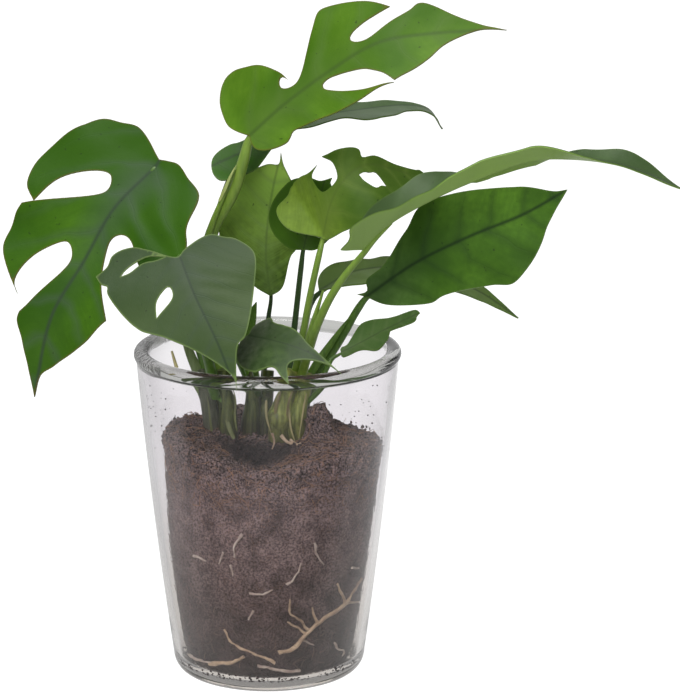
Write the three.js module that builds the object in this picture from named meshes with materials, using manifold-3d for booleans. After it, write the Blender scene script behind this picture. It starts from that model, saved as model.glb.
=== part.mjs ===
// A young potted monstera in a clear glass tumbler. The parts are the glass, a ball of
// dark peat with pale roots on its side, three short stems, and the leaves, each with
// its own stalk. Millimetres, +Z up; the front is -Y. The origin is the centre of the
// glass's flat underside.
import * as THREE from 'three';
import { mergeVertices } from 'three/addons/utils/BufferGeometryUtils.js';
import Module from 'manifold-3d';

const wasm = await Module();
wasm.setup();

// ---- driving dimensions ------------------------------------------------------------
const GLASS_HEIGHT = 150;
const GLASS_FOOT_RADIUS = 38; // the flat that the glass stands on
const GLASS_BASE_THICKNESS = 5;
const GLASS_WALL = 2.9;
const GLASS_CORNER = 8; // height of the rounded bottom corner
const WALL_START = 42.6; // outer radius of the wall, carried down to the table
const WALL_FLARE = 21.3; // how much it would widen if it went up straight
const WALL_CURVE = 4.5; // how much of that its belly takes back
const RIM_RADIUS = 60;
const RIM_WIDTH = 7; // the rolled rim, across
const RIM_HEIGHT = 6;
const PEAT_CLEARANCE = 2.5; // between the root ball and the inside of the glass
const PEAT_CORNER = 16; // height where its side starts to draw in
const PEAT_CORNER_CURVE = 0.06;
const PEAT_FOOT_RADIUS = 30;
const PEAT_SHOULDER = 106; // where the side of the ball turns over into its top
const PEAT_TOP = [[44, 111], [36, 113], [28, 112.5], [20, 110], [12, 108.5]]; // radius, height
const PEAT_HOLLOW = 108; // the soil between the stems
const PEAT_ROUGHNESS = 0.7;
const HEAP_PLACE = [27, -6]; // loose crumbs heaped up right of the stems
const HEAP_HEIGHT = 12;
const HEAP_SPREAD = 45;
const BLADE_THICKNESS = 0.8;
const FIT_GAP = 0.3; // between pieces that touch
const EDGE_STEP = 6; // spacing of the points round a leaf's edge
const INNER_STEP = 11; // spacing of the points inside a leaf
const RIB_SOFTNESS = 3; // half width of the rounded bottom of a leaf's fold
const RIB_DEPTH = 0.5; // of the midrib's centre below the blade's
const RIB_END_RADIUS = 0.45;
const WAVE_HEIGHT = 0.8; // of a leaf's edge, 30 mm out from the midrib
const WAVE_LENGTH = 34;

// ---- helpers -----------------------------------------------------------------------
const vector = (point) => new THREE.Vector3(...point);
const radians = THREE.MathUtils.degToRad;

// Seeded, so that the same plant grows every time.
function seededRandom(seed) {
  let state = seed;
  return () => {
    state = (state * 16807) % 2147483647;
    return state / 2147483647;
  };
}

function solidOf(geometry) {
  const bare = geometry.clone();
  bare.deleteAttribute('normal');
  bare.deleteAttribute('uv');
  const merged = mergeVertices(bare, 1e-4);
  return new wasm.Manifold(new wasm.Mesh({
    numProp: 3,
    vertProperties: new Float32Array(merged.attributes.position.array),
    triVerts: new Uint32Array(merged.index.array),
  }));
}

// The largest body of a solid, without the scraps that a cut leaves beside it.
function mainBody(solid) {
  return solid.decompose().sort((a, b) => b.volume() - a.volume())[0];
}

function geometryOf(solid) {
  const mesh = solid.getMesh();
  const geometry = new THREE.BufferGeometry();
  geometry.setAttribute('position', new THREE.BufferAttribute(mesh.vertProperties, 3));
  geometry.setIndex(new THREE.BufferAttribute(mesh.triVerts, 1));
  return geometry;
}

// A tapered cylinder bent along a smooth path.
function bentRod(path, startRadius, endRadius, sides = 6, steps = 12) {
  const curve = new THREE.CatmullRomCurve3(path);
  const frames = curve.computeFrenetFrames(steps);
  const rod = new THREE.CylinderGeometry(1, 1, steps, sides, steps);
  const place = rod.attributes.position;
  for (let i = 0; i < place.count; i += 1) {
    const ring = Math.round(place.getY(i) + steps / 2);
    const radius = THREE.MathUtils.lerp(startRadius, endRadius, ring / steps);
    const point = curve.getPointAt(ring / steps)
      .addScaledVector(frames.binormals[ring], place.getX(i) * radius)
      .addScaledVector(frames.normals[ring], place.getZ(i) * radius);
    place.setXYZ(i, point.x, point.y, point.z);
  }
  return solidOf(rod);
}

// A closed profile of [radius, height] points, turned about Z.
function turned(profile, segments) {
  const points = profile.map(([radius, height]) => new THREE.Vector2(radius, height));
  return new THREE.LatheGeometry(points, segments).rotateX(Math.PI / 2);
}

// ---- the glass ---------------------------------------------------------------------
function wallRadius(height) {
  const t = height / GLASS_HEIGHT;
  return WALL_START + WALL_FLARE * t - WALL_CURVE * t * t;
}

function glassGeometry() {
  const rimStart = GLASS_HEIGHT - RIM_HEIGHT;
  const wallHeights = [GLASS_CORNER, 30, 55, 80, 105, 125, rimStart];
  const outside = wallHeights.map((height) => [wallRadius(height), height]);
  const inside = wallHeights.slice(1).reverse()
    .map((height) => [wallRadius(height) - GLASS_WALL, height]);
  const cornerReach = wallRadius(GLASS_CORNER) - GLASS_FOOT_RADIUS;
  const corner = [0, 25, 50, 72].map((angle) => [
    GLASS_FOOT_RADIUS + cornerReach * Math.sin(radians(angle)),
    GLASS_CORNER * (1 - Math.cos(radians(angle))),
  ]);
  const rimCentre = RIM_RADIUS - RIM_WIDTH / 2;
  const rim = [-35, 0, 35, 90, 145, 180, 215].map((angle) => [
    rimCentre + (RIM_WIDTH / 2) * Math.cos(radians(angle)),
    GLASS_HEIGHT - RIM_HEIGHT / 2 + (RIM_HEIGHT / 2) * Math.sin(radians(angle)),
  ]);
  const floorHeight = GLASS_BASE_THICKNESS;
  const innerCorner = wallRadius(GLASS_CORNER) - GLASS_WALL;
  const floor = [
    [innerCorner, GLASS_CORNER + 6],
    [innerCorner - 2, GLASS_CORNER + 1],
    [innerCorner - 7, floorHeight],
    [0, floorHeight],
  ];
  return turned([[0, 0], ...corner, ...outside, ...rim, ...inside, ...floor], 44);
}

// ---- the root ball -----------------------------------------------------------------
// Its side keeps clear of the wall, and it draws in over the glass's rounded corner.
function ballRadius(height) {
  const drawIn = PEAT_CORNER_CURVE * Math.max(0, PEAT_CORNER - height) ** 2;
  return wallRadius(height) - GLASS_WALL - PEAT_CLEARANCE - drawIn;
}

// A place on the side of the root ball: degrees round it from +X, and its height.
function onBall([azimuth, height]) {
  const radius = ballRadius(height);
  const angle = radians(azimuth);
  return new THREE.Vector3(radius * Math.cos(angle), radius * Math.sin(angle), height);
}

// Crumbly peat: a few waves of different lengths.
function crumble(x, y, z) {
  const coarse = Math.sin(0.31 * x + 1.3) * Math.sin(0.27 * y + 0.4) * Math.sin(0.23 * z);
  const fine = Math.sin(0.9 * x + 0.7 * z) * Math.sin(0.8 * y - 0.6 * z + 2);
  return PEAT_ROUGHNESS * (coarse + 0.7 * fine);
}

function rootBall(stems, roots) {
  const bottom = GLASS_BASE_THICKNESS + FIT_GAP;
  const sideHeights = [bottom + 3, 11, PEAT_CORNER, 30, 44, 58, 72, 84, 96, PEAT_SHOULDER];
  const profile = [
    [0, bottom],
    [PEAT_FOOT_RADIUS, bottom],
    ...sideHeights.map((height) => [ballRadius(height), height]),
    ...PEAT_TOP,
    [0, PEAT_HOLLOW],
  ];
  const ball = turned(profile, 36);
  const place = ball.attributes.position;
  for (let i = 0; i < place.count; i += 1) {
    const x = place.getX(i);
    const y = place.getY(i);
    const z = place.getZ(i);
    const radius = Math.hypot(x, y);
    const onFlat = z < bottom + 0.01;
    const roughness = onFlat ? 0 : crumble(x, y, z);
    const grow = radius > 1 ? 1 + roughness / radius : 1;
    const fromHeap = (x - HEAP_PLACE[0]) ** 2 + (y - HEAP_PLACE[1]) ** 2;
    const heap = HEAP_HEIGHT * Math.exp(-fromHeap / HEAP_SPREAD);
    const top = z > PEAT_SHOULDER + 1 ? heap + 2 * roughness : 0;
    place.setXYZ(i, x * grow, y * grow, z + top);
  }
  return [...stems, ...roots].reduce((peat, cutter) => peat.subtract(cutter), solidOf(ball));
}

// ---- roots that show on the side of the ball ---------------------------------------
// Each root is a list of rods: [start radius, end radius, places on the ball].
const ROOTS = {
  root_branching: [
    [1.0, 1.5, [[-83, 19], [-75, 20], [-67, 26], [-57, 32], [-43, 36], [-38, 37]]],
    [1.2, 0.6, [[-40, 36.5], [-38, 37], [-42, 43], [-47, 49]]],
    [1.2, 0.7, [[-40, 36.5], [-38, 37], [-30, 42], [-20, 46]]],
    [1.0, 0.6, [[-40, 36.5], [-36, 37], [-18, 34]]],
    [0.8, 0.5, [[-64, 29], [-71, 35], [-76, 38], [-77, 45]]],
    [0.8, 0.5, [[-65, 27], [-72, 31], [-78, 34]]],
    [0.8, 0.5, [[-58, 31], [-61, 35], [-63, 40]]],
  ],
  root_low_left: [
    [0.6, 0.9, [[-117, 29], [-113, 24], [-107, 21], [-99, 19], [-90, 16], [-85, 14]]],
  ],
  root_thick: [
    [1.5, 0.8, [[-132, 10], [-122, 12], [-111, 14], [-105, 17]]],
  ],
  root_low_middle: [
    [0.8, 0.9, [[-96, 12.5], [-88, 11.5], [-77, 9.5], [-68, 9]]],
  ],
};

function rootRods(rods, grow) {
  return rods
    .map(([start, end, places]) => bentRod(
      places.map(onBall),
      start + grow,
      end + grow,
      5,
      places.length + 1,
    ))
    .reduce((root, rod) => root.add(rod));
}

// ---- stems -------------------------------------------------------------------------
// Each stem: its radius at the soil and at the top, and its path.
const STEMS = {
  stem_left: [6.2, 5.2, [[-21, -2, 101], [-21, -2, 125], [-23, -2, 138]]],
  stem_middle: [5.6, 4.4, [[-5, 7, 101], [-4, 8, 121], [-2, 9, 134]]],
  stem_right: [7.0, 5.6, [[9, -3, 101], [10, -3, 121], [14, -2, 137]]],
};

const stemRod = ([low, high, path], grow) => (
  bentRod(path.map(vector), low + grow, high + grow, 12, 5)
);

// ---- leaves ------------------------------------------------------------------------
// rib: the midrib, from the stalk's joint to the tip.
// faces: where the upper side looks, from joint to tip; folds: degrees that each half
// is raised. edge: the outline as [along the midrib, out from it], out being positive on
// the right of someone who stands on the upper side and looks to the tip; a third
// number marks a sharp corner. holes: closed holes, in the same way.
// stalk: its radius where it leaves the stem, and its path from there to the joint.
// sheath: a pale pointed wing that clasps the stalk: two radii and its path.
const LEAVES = {
  leaf_left: {
    colour: 0x3c6e1e,
    rib: [[-49, -2, 232], [-67, -12, 215], [-80, -20, 193], [-94, -27, 170], [-102, -34, 134]],
    faces: [[-0.3, -0.8, 0.55]],
    folds: [6],
    cup: 0.0016,
    edge: [[-1, 0, 1], [-11, 18], [-9, 27], [-5, 37], [22, 47], [34, 43], [39, 36, 1],
      [26, 31], [15, 17], [15, 12], [22, 9], [42, 41, 1], [48, 42], [65, 38], [79, 20, 1],
      [75, 24], [60, 22], [49, 12], [55, 6], [80, 13], [85, 16, 1], [88, 16], [96, 11],
      [118, 0, 1], [108, -1], [102, -7], [86, -21], [72, -26, 1], [56, -12], [41, -7],
      [36, -10], [36, -15], [45, -26], [49, -34, 1], [43, -41], [26, -41], [18, -36],
      [1, -27], [-3, -17], [-6, -9], [-5, -4]],
    stalk: [2.6, [[-26, -3, 135], [-32, 0, 156], [-38, 5, 181], [-45, 8, 205], [-49, 4, 223]]],
  },
  leaf_front_left: {
    colour: 0x556e4b,
    rib: [[-37, -40, 200], [-30, -52, 185], [-20, -64, 167], [-12, -72, 148]],
    faces: [[-0.1, -0.72, 0.7]],
    folds: [-3],
    cup: 0.0016,
    edge: [[0, 0, 1], [-2, -3], [-5, -16], [-2, -21], [1, -26], [11, -31], [46, -12],
      [48, -8], [67, 0, 1], [61, -1], [33, 19], [24, 28], [4, 35], [1, 34], [-1, 36],
      [-6, 37, 1], [-8, 31], [-12, 27], [-12, 18], [0, 2]],
    holes: [
      [[-2, 6, 1], [-5, 14], [-3, 24], [-1, 27, 1], [-1, 23], [-3, 16], [-2, 11]],
      [[12, 9], [17, 9], [23, 19, 1], [16, 16]],
    ],
    stalk: [2.4, [[-23, -6, 129], [-28, -22, 158], [-35, -34, 187]]],
  },
  leaf_top: {
    colour: 0x5f8c23,
    rib: [[-8, -6, 246], [8, -10, 261], [29, -13, 277], [49, -15, 289], [71, -16, 293],
      [104, -18, 295]],
    faces: [[-0.15, -0.8, 0.6]],
    folds: [6],
    cup: 0.0016,
    edge: [[1, 0, 1], [-5, -8], [0, -30], [18, -25], [29, -8, 1], [26, -13], [24, -11],
      [27, -5], [32, -4], [52, -27], [56, -28], [81, -16, 1], [64, -10], [62, -6],
      [70, -4], [96, -15], [111, -6], [129, 0, 1], [118, -1], [100, 7], [96, 11],
      [75, 21, 1], [62, 9], [43, 3], [42, 5], [59, 18], [71, 21, 1], [47, 20], [24, 13],
      [18, 17], [8, 14], [0, 4]],
    stalk: [3.4, [[-20, 1, 131], [-24, 8, 150], [-29, 7, 175], [-26, 2, 201], [-18, -2, 222],
      [-12, -4, 236]]],
    sheath: [2.2, 0.5, [[-27, 0, 194], [-23, -3, 214], [-14, -6, 235]]],
  },
  leaf_top_behind: {
    colour: 0x37562b,
    rib: [[-11, 16, 235], [0, 20, 244], [19, 26, 249], [41, 34, 251], [62, 40, 252],
      [73, 45, 249], [79, 48, 240]],
    faces: [[-0.55, -0.7, 0.5], [-0.3, -0.45, 0.8], [0, -0.2, 0.98], [0.1, -0.12, 0.98],
      [0.3, -0.15, 0.95], [0.6, -0.15, 0.8]],
    folds: [5, 10, 10, 10, 5],
    cup: 0.001,
    edge: [[-17, 4], [-16, 10], [-10, 12], [12, 12], [25, 8], [36, 12], [48, 10], [56, 19],
      [66, 20], [82, 7], [97, 5], [105, 0, 1], [90, -2], [68, -7], [52, -10], [6, -4],
      [-3, -7], [-13, -4]],
    stalk: [2.4, [[-5, 9, 124], [-16, 16, 147], [-24, 20, 167], [-26, 20, 190], [-20, 18, 213],
      [-14, 17, 228]]],
  },
  leaf_back: {
    colour: 0x3f6b26,
    rib: [[1, 20, 168], [-1, 22, 187], [1, 20, 210], [6, 14, 235]],
    faces: [[-0.15, -0.95, 0.2]],
    folds: [8],
    cup: 0.002,
    edge: [[0, 0, 1], [5, -7], [11, -10], [24, -21], [47, -20], [62, -5], [63, 0],
      [69, 0, 1], [64, 2], [43, 16], [23, 14], [20, 12], [4, 6]],
    stalk: [1.4, [[-3, 10, 126], [-1, 16, 144], [0, 20, 158]]],
  },
  leaf_round: {
    colour: 0x355a24,
    rib: [[16, 8, 192], [19, 11, 204], [23, 13, 214], [26, 14, 224]],
    faces: [[0.05, -0.93, 0.35]],
    folds: [6],
    cup: 0.003,
    edge: [[0, 0, 1], [-1, -6], [4, -15], [12, -19], [28, -15], [32, -7], [32, -2],
      [35, 3, 1], [32, 3], [29, 8], [18, 14], [2, 6]],
    stalk: [1.6, [[9, 0, 130], [11, 7, 148], [13, 9, 166], [15, 9, 184]]],
  },
  leaf_young: {
    colour: 0x73912a,
    rib: [[25, -14, 203], [28, -16, 217], [33, -15, 227], [43, -10, 234], [59, -3, 230],
      [80, 4, 220]],
    faces: [[-0.1, -0.85, 0.5]],
    folds: [5],
    cup: 0.003,
    straight: 0.85,
    edge: [[-1, 0, 1], [-12, -11], [-12, -21], [-4, -25], [0, -28], [15, -18], [20, -16, 1],
      [14, -16], [15, -7], [25, -3], [27, -10], [24, -16, 1], [40, -8], [40, -4],
      [47, -5], [56, -3], [67, -4], [69, -5], [79, 1, 1], [66, 9], [44, 20], [29, 22],
      [11, 11], [0, 2]],
    holes: [
      [[35, 3, 1], [38, 3], [40, 4], [43, 4], [46, 11, 1], [43, 11], [40, 12], [36, 7]],
    ],
    stalk: [1.8, [[11, -2, 133], [15, -9, 152], [19, -14, 175], [23, -16, 194]]],
  },
  leaf_long: {
    colour: 0x6f8c4a,
    rib: [[42, -32, 201], [52, -34, 212], [69, -36, 223], [92, -38, 234], [114, -39, 242],
      [133, -41, 243], [156, -44, 240], [178, -46, 231]],
    faces: [[-0.3, -0.3, 0.9], [-0.3, -0.3, 0.9], [-0.2, 0.15, 0.95], [0, 0.62, 0.78],
      [0, 0.55, 0.83], [0.1, -0.15, 0.97], [0.2, -0.3, 0.93], [0.3, -0.3, 0.9]],
    folds: [60, 60, 45, 15, 12, 30, 30, 15],
    cup: 0,
    straight: 0.3,
    edge: [[0, 3, 1], [-5, 15, 1], [2, 17], [6, 21], [24, 12], [38, 8], [58, 10], [81, 9],
      [92, 12], [108, 11], [118, 8], [152, 0, 1], [128, -9], [108, -7], [72, -8],
      [66, -6], [60, -8, 1], [51, -17], [24, -13], [4, -9]],
    stalk: [2.6, [[14, -2, 131], [18, -14, 149], [24, -24, 169], [32, -29, 185]]],
    sheath: [2.4, 0.5, [[17, -13, 148], [20, -20, 163], [25, -26, 181]]],
  },
  leaf_right: {
    colour: 0x325f1c,
    rib: [[44, 6, 171], [66, 4, 187], [90, 0, 200], [114, -4, 211], [133, -8, 223]],
    faces: [[0.1, -0.86, 0.5]],
    folds: [8],
    cup: 0.002,
    edge: [[0, 0, 1], [-3, -3, 1], [2, -2], [4, -6], [14, -7], [30, -15], [41, -22],
      [85, -12], [99, -2], [104, 0, 1], [90, 9], [79, 20], [66, 28], [56, 25], [33, 20],
      [26, 20], [7, 9]],
    stalk: [2.2, [[15, -1, 127], [26, 2, 142], [34, 5, 154], [41, 7, 166]]],
  },
  leaf_arching: {
    colour: 0x3d6a25,
    rib: [[23, 15, 172], [40, 24, 179], [69, 31, 178], [94, 29, 169], [115, 24, 156]],
    faces: [[-0.25, -0.35, 0.9], [0, -0.3, 0.95], [0.2, -0.35, 0.92], [0.5, -0.45, 0.75]],
    folds: [8, 8, 8, 6],
    cup: 0.001,
    edge: [[0, 0, 1], [2, -7], [7, -11], [26, -8], [55, -10], [101, 0, 1], [49, 15],
      [28, 14], [18, 13]],
    stalk: [1.8, [[11, 2, 124], [14, 14, 144], [17, 16, 158], [20, 16, 167]]],
  },
  leaf_rim: {
    colour: 0x4c6b3a,
    rib: [[29, -8, 147], [40, -6, 152], [52, -8, 159], [68, -12, 168]],
    faces: [[-0.25, -0.7, 0.65]],
    folds: [14],
    cup: 0.002,
    edge: [[4, 1, 1], [5, -2], [8, -2], [18, -8], [32, -4], [44, -2], [45, 0, 1], [43, 1],
      [42, 3], [29, 2, 1], [27, 6, 1], [21, 9], [13, 4], [4, 3]],
    stalk: [1.6, [[16, -4, 123], [24, -8, 136], [27, -9, 143]]],
  },
  leaf_small: {
    colour: 0x4f6f3c,
    rib: [[-11, 2, 150], [-8, 1, 160], [-5, 0, 170]],
    faces: [[-0.6, -0.7, 0.3]],
    folds: [20],
    cup: 0.002,
    edge: [[0, 0, 1], [5, -4], [12, -4], [21, 0, 1], [12, 4], [5, 4]],
    stalk: [1.5, [[-5, 8, 128], [-10, 4, 140]]],
  },
  leaf_front: {
    colour: 0x43633a,
    rib: [[-7, -34, 163], [5, -45, 163], [19, -53, 160], [33, -59, 152]],
    faces: [[-0.05, -0.72, 0.7]],
    folds: [6],
    cup: 0.004,
    edge: [[-1, -1, 1], [-1, -5], [5, -11], [8, -9], [21, -8], [32, -3], [50, 0, 1],
      [43, 0], [29, 7], [28, 10], [34, 18, 1], [28, 16], [22, 13], [16, 18, 1],
      [11, 18], [3, 14], [-2, 5]],
    stalk: [1.7, [[-4, 8, 127], [-5, -12, 140], [-7, -28, 157]]],
  },
};

// Where a list of values stands at a share of the way from its first to its last.
function blend(values, share) {
  const last = values.length - 1;
  const place = share * last;
  const index = Math.min(Math.floor(place), Math.max(last - 1, 0));
  const next = Math.min(index + 1, last);
  return [values[index], values[next], place - index];
}

function blendNumber(values, share) {
  return THREE.MathUtils.lerp(...blend(values, share));
}

function blendVector(values, share) {
  const [from, to, part] = blend(values, share);
  return vector(from).lerp(vector(to), part);
}

// A leaf's surface: a place for each distance along the midrib and out from it.
function bladeSurface({ rib, faces, folds, cup, straight = 0.5 }) {
  const curve = new THREE.CatmullRomCurve3(rib.map(vector));
  const length = curve.getLength();
  const chord = vector(rib[rib.length - 1]).sub(vector(rib[0])).normalize();

  const at = (along, out, height = 0) => {
    const share = THREE.MathUtils.clamp(along / length, 0, 1);
    const ahead = curve.getTangentAt(share).lerp(chord, straight).normalize();
    const face = blendVector(faces, share);
    face.addScaledVector(ahead, -face.dot(ahead)).normalize();
    const side = ahead.clone().cross(face);
    const fold = radians(blendNumber(folds, share));
    const rise = Math.hypot(out, RIB_SOFTNESS) - RIB_SOFTNESS;
    const wave = WAVE_HEIGHT * (out / 30) ** 2
      * Math.sin(2 * Math.PI * (along / WAVE_LENGTH) + Math.sign(out));
    return curve.getPointAt(share)
      .addScaledVector(ahead, along - share * length)
      .addScaledVector(side, out * Math.cos(fold))
      .addScaledVector(face, rise * Math.sin(fold) - cup * out * out + wave + height);
  };

  const normal = (along, out) => {
    const down = at(along + 1, out).sub(at(along - 1, out));
    const across = at(along, out + 1).sub(at(along, out - 1));
    return across.cross(down).normalize();
  };

  return { at, normal, length, curve };
}

// Points round an outline, smooth between its sharp corners.
function edgePoints(outline) {
  const corners = outline.flatMap((point, index) => (point[2] ? [index] : []));
  const starts = corners.length > 0 ? corners : [0];
  return starts.flatMap((start, order) => {
    const end = starts[(order + 1) % starts.length] + (order + 1 < starts.length ? 0 : outline.length);
    const run = [];
    for (let i = start; i <= end; i += 1) {
      const [along, out] = outline[i % outline.length];
      run.push(new THREE.Vector3(along, out, 0));
    }
    const curve = new THREE.CatmullRomCurve3(run);
    const count = Math.max(1, Math.ceil(curve.getLength() / EDGE_STEP));
    return curve.getSpacedPoints(count).slice(0, -1).map((point) => [point.x, point.y]);
  });
}

function isInside([x, y], loops) {
  let inside = false;
  loops.forEach((loop) => loop.forEach(([x1, y1], i) => {
    const [x0, y0] = loop[(i + loop.length - 1) % loop.length];
    const crosses = (y0 > y) !== (y1 > y) && x < x1 + ((y - y1) * (x0 - x1)) / (y0 - y1);
    inside = crosses ? !inside : inside;
  }));
  return inside;
}

// Points in staggered rows inside the outline, one row lying on the midrib.
function innerPoints(loops) {
  const random = seededRandom(7);
  const edge = loops.flat();
  const reach = Math.max(...edge.flat().map(Math.abs)) + INNER_STEP;
  const rows = Math.ceil(reach / INNER_STEP);
  const points = [];
  for (let row = -rows; row <= rows; row += 1) {
    for (let column = -rows; column <= rows; column += 1) {
      const shift = row % 2 === 0 ? 0 : INNER_STEP / 2;
      const along = column * INNER_STEP + shift + 0.4 * random();
      const out = row * INNER_STEP + (row === 0 ? 0 : 0.4 * random());
      const clear = edge.every(([x, y]) => Math.hypot(x - along, y - out) > 0.6 * EDGE_STEP);
      if (clear && isInside([along, out], loops)) points.push([along, out]);
    }
  }
  return points;
}

function circleThrough(points, a, b, c) {
  const [ax, ay] = points[a];
  const [bx, by] = [points[b][0] - ax, points[b][1] - ay];
  const [cx, cy] = [points[c][0] - ax, points[c][1] - ay];
  const area = 2 * (bx * cy - by * cx);
  const b2 = bx * bx + by * by;
  const c2 = cx * cx + cy * cy;
  const x = (cy * b2 - by * c2) / area;
  const y = (bx * c2 - cx * b2) / area;
  return { corners: [a, b, c], x: ax + x, y: ay + y, reach: x * x + y * y };
}

// Triangles with no other point inside their circles, grown one point at a time.
function triangulate(points) {
  const far = 5000;
  const count = points.length;
  const all = [...points, [-far, -far], [far, -far], [0, far]];
  let triangles = [circleThrough(all, count, count + 1, count + 2)];
  points.forEach(([x, y], index) => {
    const border = new Map();
    const kept = [];
    triangles.forEach((triangle) => {
      if ((x - triangle.x) ** 2 + (y - triangle.y) ** 2 >= triangle.reach) {
        kept.push(triangle);
        return;
      }
      triangle.corners.forEach((from, i) => {
        const to = triangle.corners[(i + 1) % 3];
        if (!border.delete(`${to},${from}`)) border.set(`${from},${to}`, [from, to]);
      });
    });
    border.forEach(([from, to]) => kept.push(circleThrough(all, from, to, index)));
    triangles = kept;
  });
  return triangles.map((triangle) => triangle.corners)
    .filter((corners) => Math.max(...corners) < count);
}

// Triangles that fill the loops: an edge that they miss gets a point in its middle.
function fillLoops(loops) {
  const inner = innerPoints(loops);
  for (;;) {
    const points = [...loops.flat(), ...inner];
    const triangles = triangulate(points);
    const sides = new Set(triangles.flatMap(([a, b, c]) => (
      [[a, b], [b, c], [c, a]].flatMap(([p, q]) => [`${p},${q}`, `${q},${p}`])
    )));
    let missing = 0;
    let first = 0;
    loops.forEach((loop, order) => {
      const mended = loop.flatMap((point, i) => {
        const next = (i + 1) % loop.length;
        if (sides.has(`${first + i},${first + next}`)) return [point];
        missing += 1;
        return [point, [(point[0] + loop[next][0]) / 2, (point[1] + loop[next][1]) / 2]];
      });
      first += loop.length;
      loops[order] = mended;
    });
    if (missing === 0) {
      const filled = triangles.filter((corners) => isInside(
        [0, 1].map((axis) => corners.reduce((sum, i) => sum + points[i][axis], 0) / 3),
        loops,
      ));
      return { points, triangles: filled };
    }
  }
}

// A thin solid with the same triangles on its upper and its lower side.
function bladeSolid(leaf, surface) {
  const loops = [leaf.edge, ...(leaf.holes ?? [])].map(edgePoints);
  const { points, triangles } = fillLoops(loops);
  const count = points.length;
  const upper = [];
  const lower = [];
  points.forEach(([along, out]) => {
    const normal = surface.normal(along, out);
    const middle = surface.at(along, out);
    upper.push(...middle.clone().addScaledVector(normal, BLADE_THICKNESS / 2));
    lower.push(...middle.clone().addScaledVector(normal, -BLADE_THICKNESS / 2));
  });
  const rims = new Map();
  const index = [];
  triangles.forEach(([a, b, c]) => {
    index.push(c, b, a, count + a, count + b, count + c);
    [[c, b], [b, a], [a, c]].forEach(([from, to]) => {
      if (!rims.delete(`${to},${from}`)) rims.set(`${from},${to}`, [from, to]);
    });
  });
  rims.forEach(([from, to]) => {
    index.push(count + from, count + to, to, count + from, to, from);
  });
  const geometry = new THREE.BufferGeometry();
  geometry.setAttribute('position', new THREE.Float32BufferAttribute([...upper, ...lower], 3));
  geometry.setIndex(index);
  return solidOf(geometry);
}

const sheathRod = ([low, tip, path]) => bentRod(path.map(vector), low, tip, 5, 6);

// The blade, with its stalk running on under it as the midrib.
function leafSolid(leaf, stemSpace) {
  const surface = bladeSurface(leaf);
  const [stalkRadius, stalkPath] = leaf.stalk;
  const ribShares = [0, 0.15, 0.35, 0.6, 0.85];
  const ribPath = ribShares.map((share) => surface.at(share * surface.length, 0, -RIB_DEPTH));
  const path = [...stalkPath.map(vector), ...ribPath];
  const stalk = bentRod(path, stalkRadius, RIB_END_RADIUS, 5, 13);
  const sheath = leaf.sheath ? [sheathRod(leaf.sheath)] : [];
  const whole = [stalk, ...sheath].reduce((solid, rod) => solid.add(rod), bladeSolid(leaf, surface));
  return mainBody(whole.subtract(stemSpace));
}

// ---- materials and the assembly ----------------------------------------------------
function surfaceOf(colour, roughness, extra = {}) {
  return new THREE.MeshStandardMaterial({ color: colour, roughness, metalness: 0, ...extra });
}

const plant = new THREE.Group();

function addPart(name, geometry, material) {
  const part = new THREE.Mesh(geometry, material);
  part.name = name;
  plant.add(part);
}

addPart('glass', glassGeometry(), surfaceOf(0xe8efec, 0.03, { transparent: true, opacity: 0.35 }));

const stemSpaces = Object.values(STEMS).map((stem) => stemRod(stem, FIT_GAP));
const rootSpaces = Object.values(ROOTS).map((rods) => rootRods(rods, FIT_GAP));
addPart('root_ball', geometryOf(rootBall(stemSpaces, rootSpaces)), surfaceOf(0x4b3e3e, 0.95));

Object.entries(ROOTS).forEach(([name, rods]) => {
  addPart(name, geometryOf(rootRods(rods, 0)), surfaceOf(0xa59687, 0.7));
});

Object.entries(STEMS).forEach(([name, stem]) => {
  addPart(name, geometryOf(stemRod(stem, 0)), surfaceOf(0x5a6e37, 0.5));
});

const stemSpace = stemSpaces.reduce((space, stem) => space.add(stem));
Object.entries(LEAVES).forEach(([name, leaf]) => {
  addPart(name, geometryOf(leafSolid(leaf, stemSpace)), surfaceOf(leaf.colour, 0.4));
});

export default plant;
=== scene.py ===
# %% [markdown]
# # A young monstera in a glass tumbler
# The plant stands with its root ball in a clear tumbler. Its solids already exist at
# their real size. They come in as a fixed frame, and each is replaced here by a finer
# piece of the same form. Values are in millimetres, and MM turns them into Blender's
# metres.

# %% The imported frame
import math
import random

import bmesh
import bpy
import numpy as np
from mathutils import Matrix, Vector, noise


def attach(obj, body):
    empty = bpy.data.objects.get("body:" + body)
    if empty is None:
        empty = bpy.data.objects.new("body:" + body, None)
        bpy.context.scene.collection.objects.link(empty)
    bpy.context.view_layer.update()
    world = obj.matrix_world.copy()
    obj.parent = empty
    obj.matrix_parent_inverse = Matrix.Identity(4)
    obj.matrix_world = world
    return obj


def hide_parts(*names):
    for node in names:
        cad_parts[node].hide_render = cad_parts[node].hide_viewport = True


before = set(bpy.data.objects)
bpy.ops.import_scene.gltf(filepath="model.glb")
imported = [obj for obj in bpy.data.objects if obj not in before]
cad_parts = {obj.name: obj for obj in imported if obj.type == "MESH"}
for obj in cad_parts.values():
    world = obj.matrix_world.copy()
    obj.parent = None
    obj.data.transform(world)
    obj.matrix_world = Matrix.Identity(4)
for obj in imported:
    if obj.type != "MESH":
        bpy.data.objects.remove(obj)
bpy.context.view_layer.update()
MM = 0.001

# %% [markdown]
# ## Camera
# The picture was taken from a little above the leaves with a long lens, so that the
# glass's sides hardly converge. The camera is set up first: every later choice of
# light is judged through it.

# %% Camera
TARGET = Vector((32.45, 0, 149.57)) * MM
CAMERA_PLACE = Vector((32.45, -1440, 506)) * MM
SENSOR = 36
LENS_IN_PIXELS = 3309
IMAGE_LONG_SIDE = 693

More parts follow.
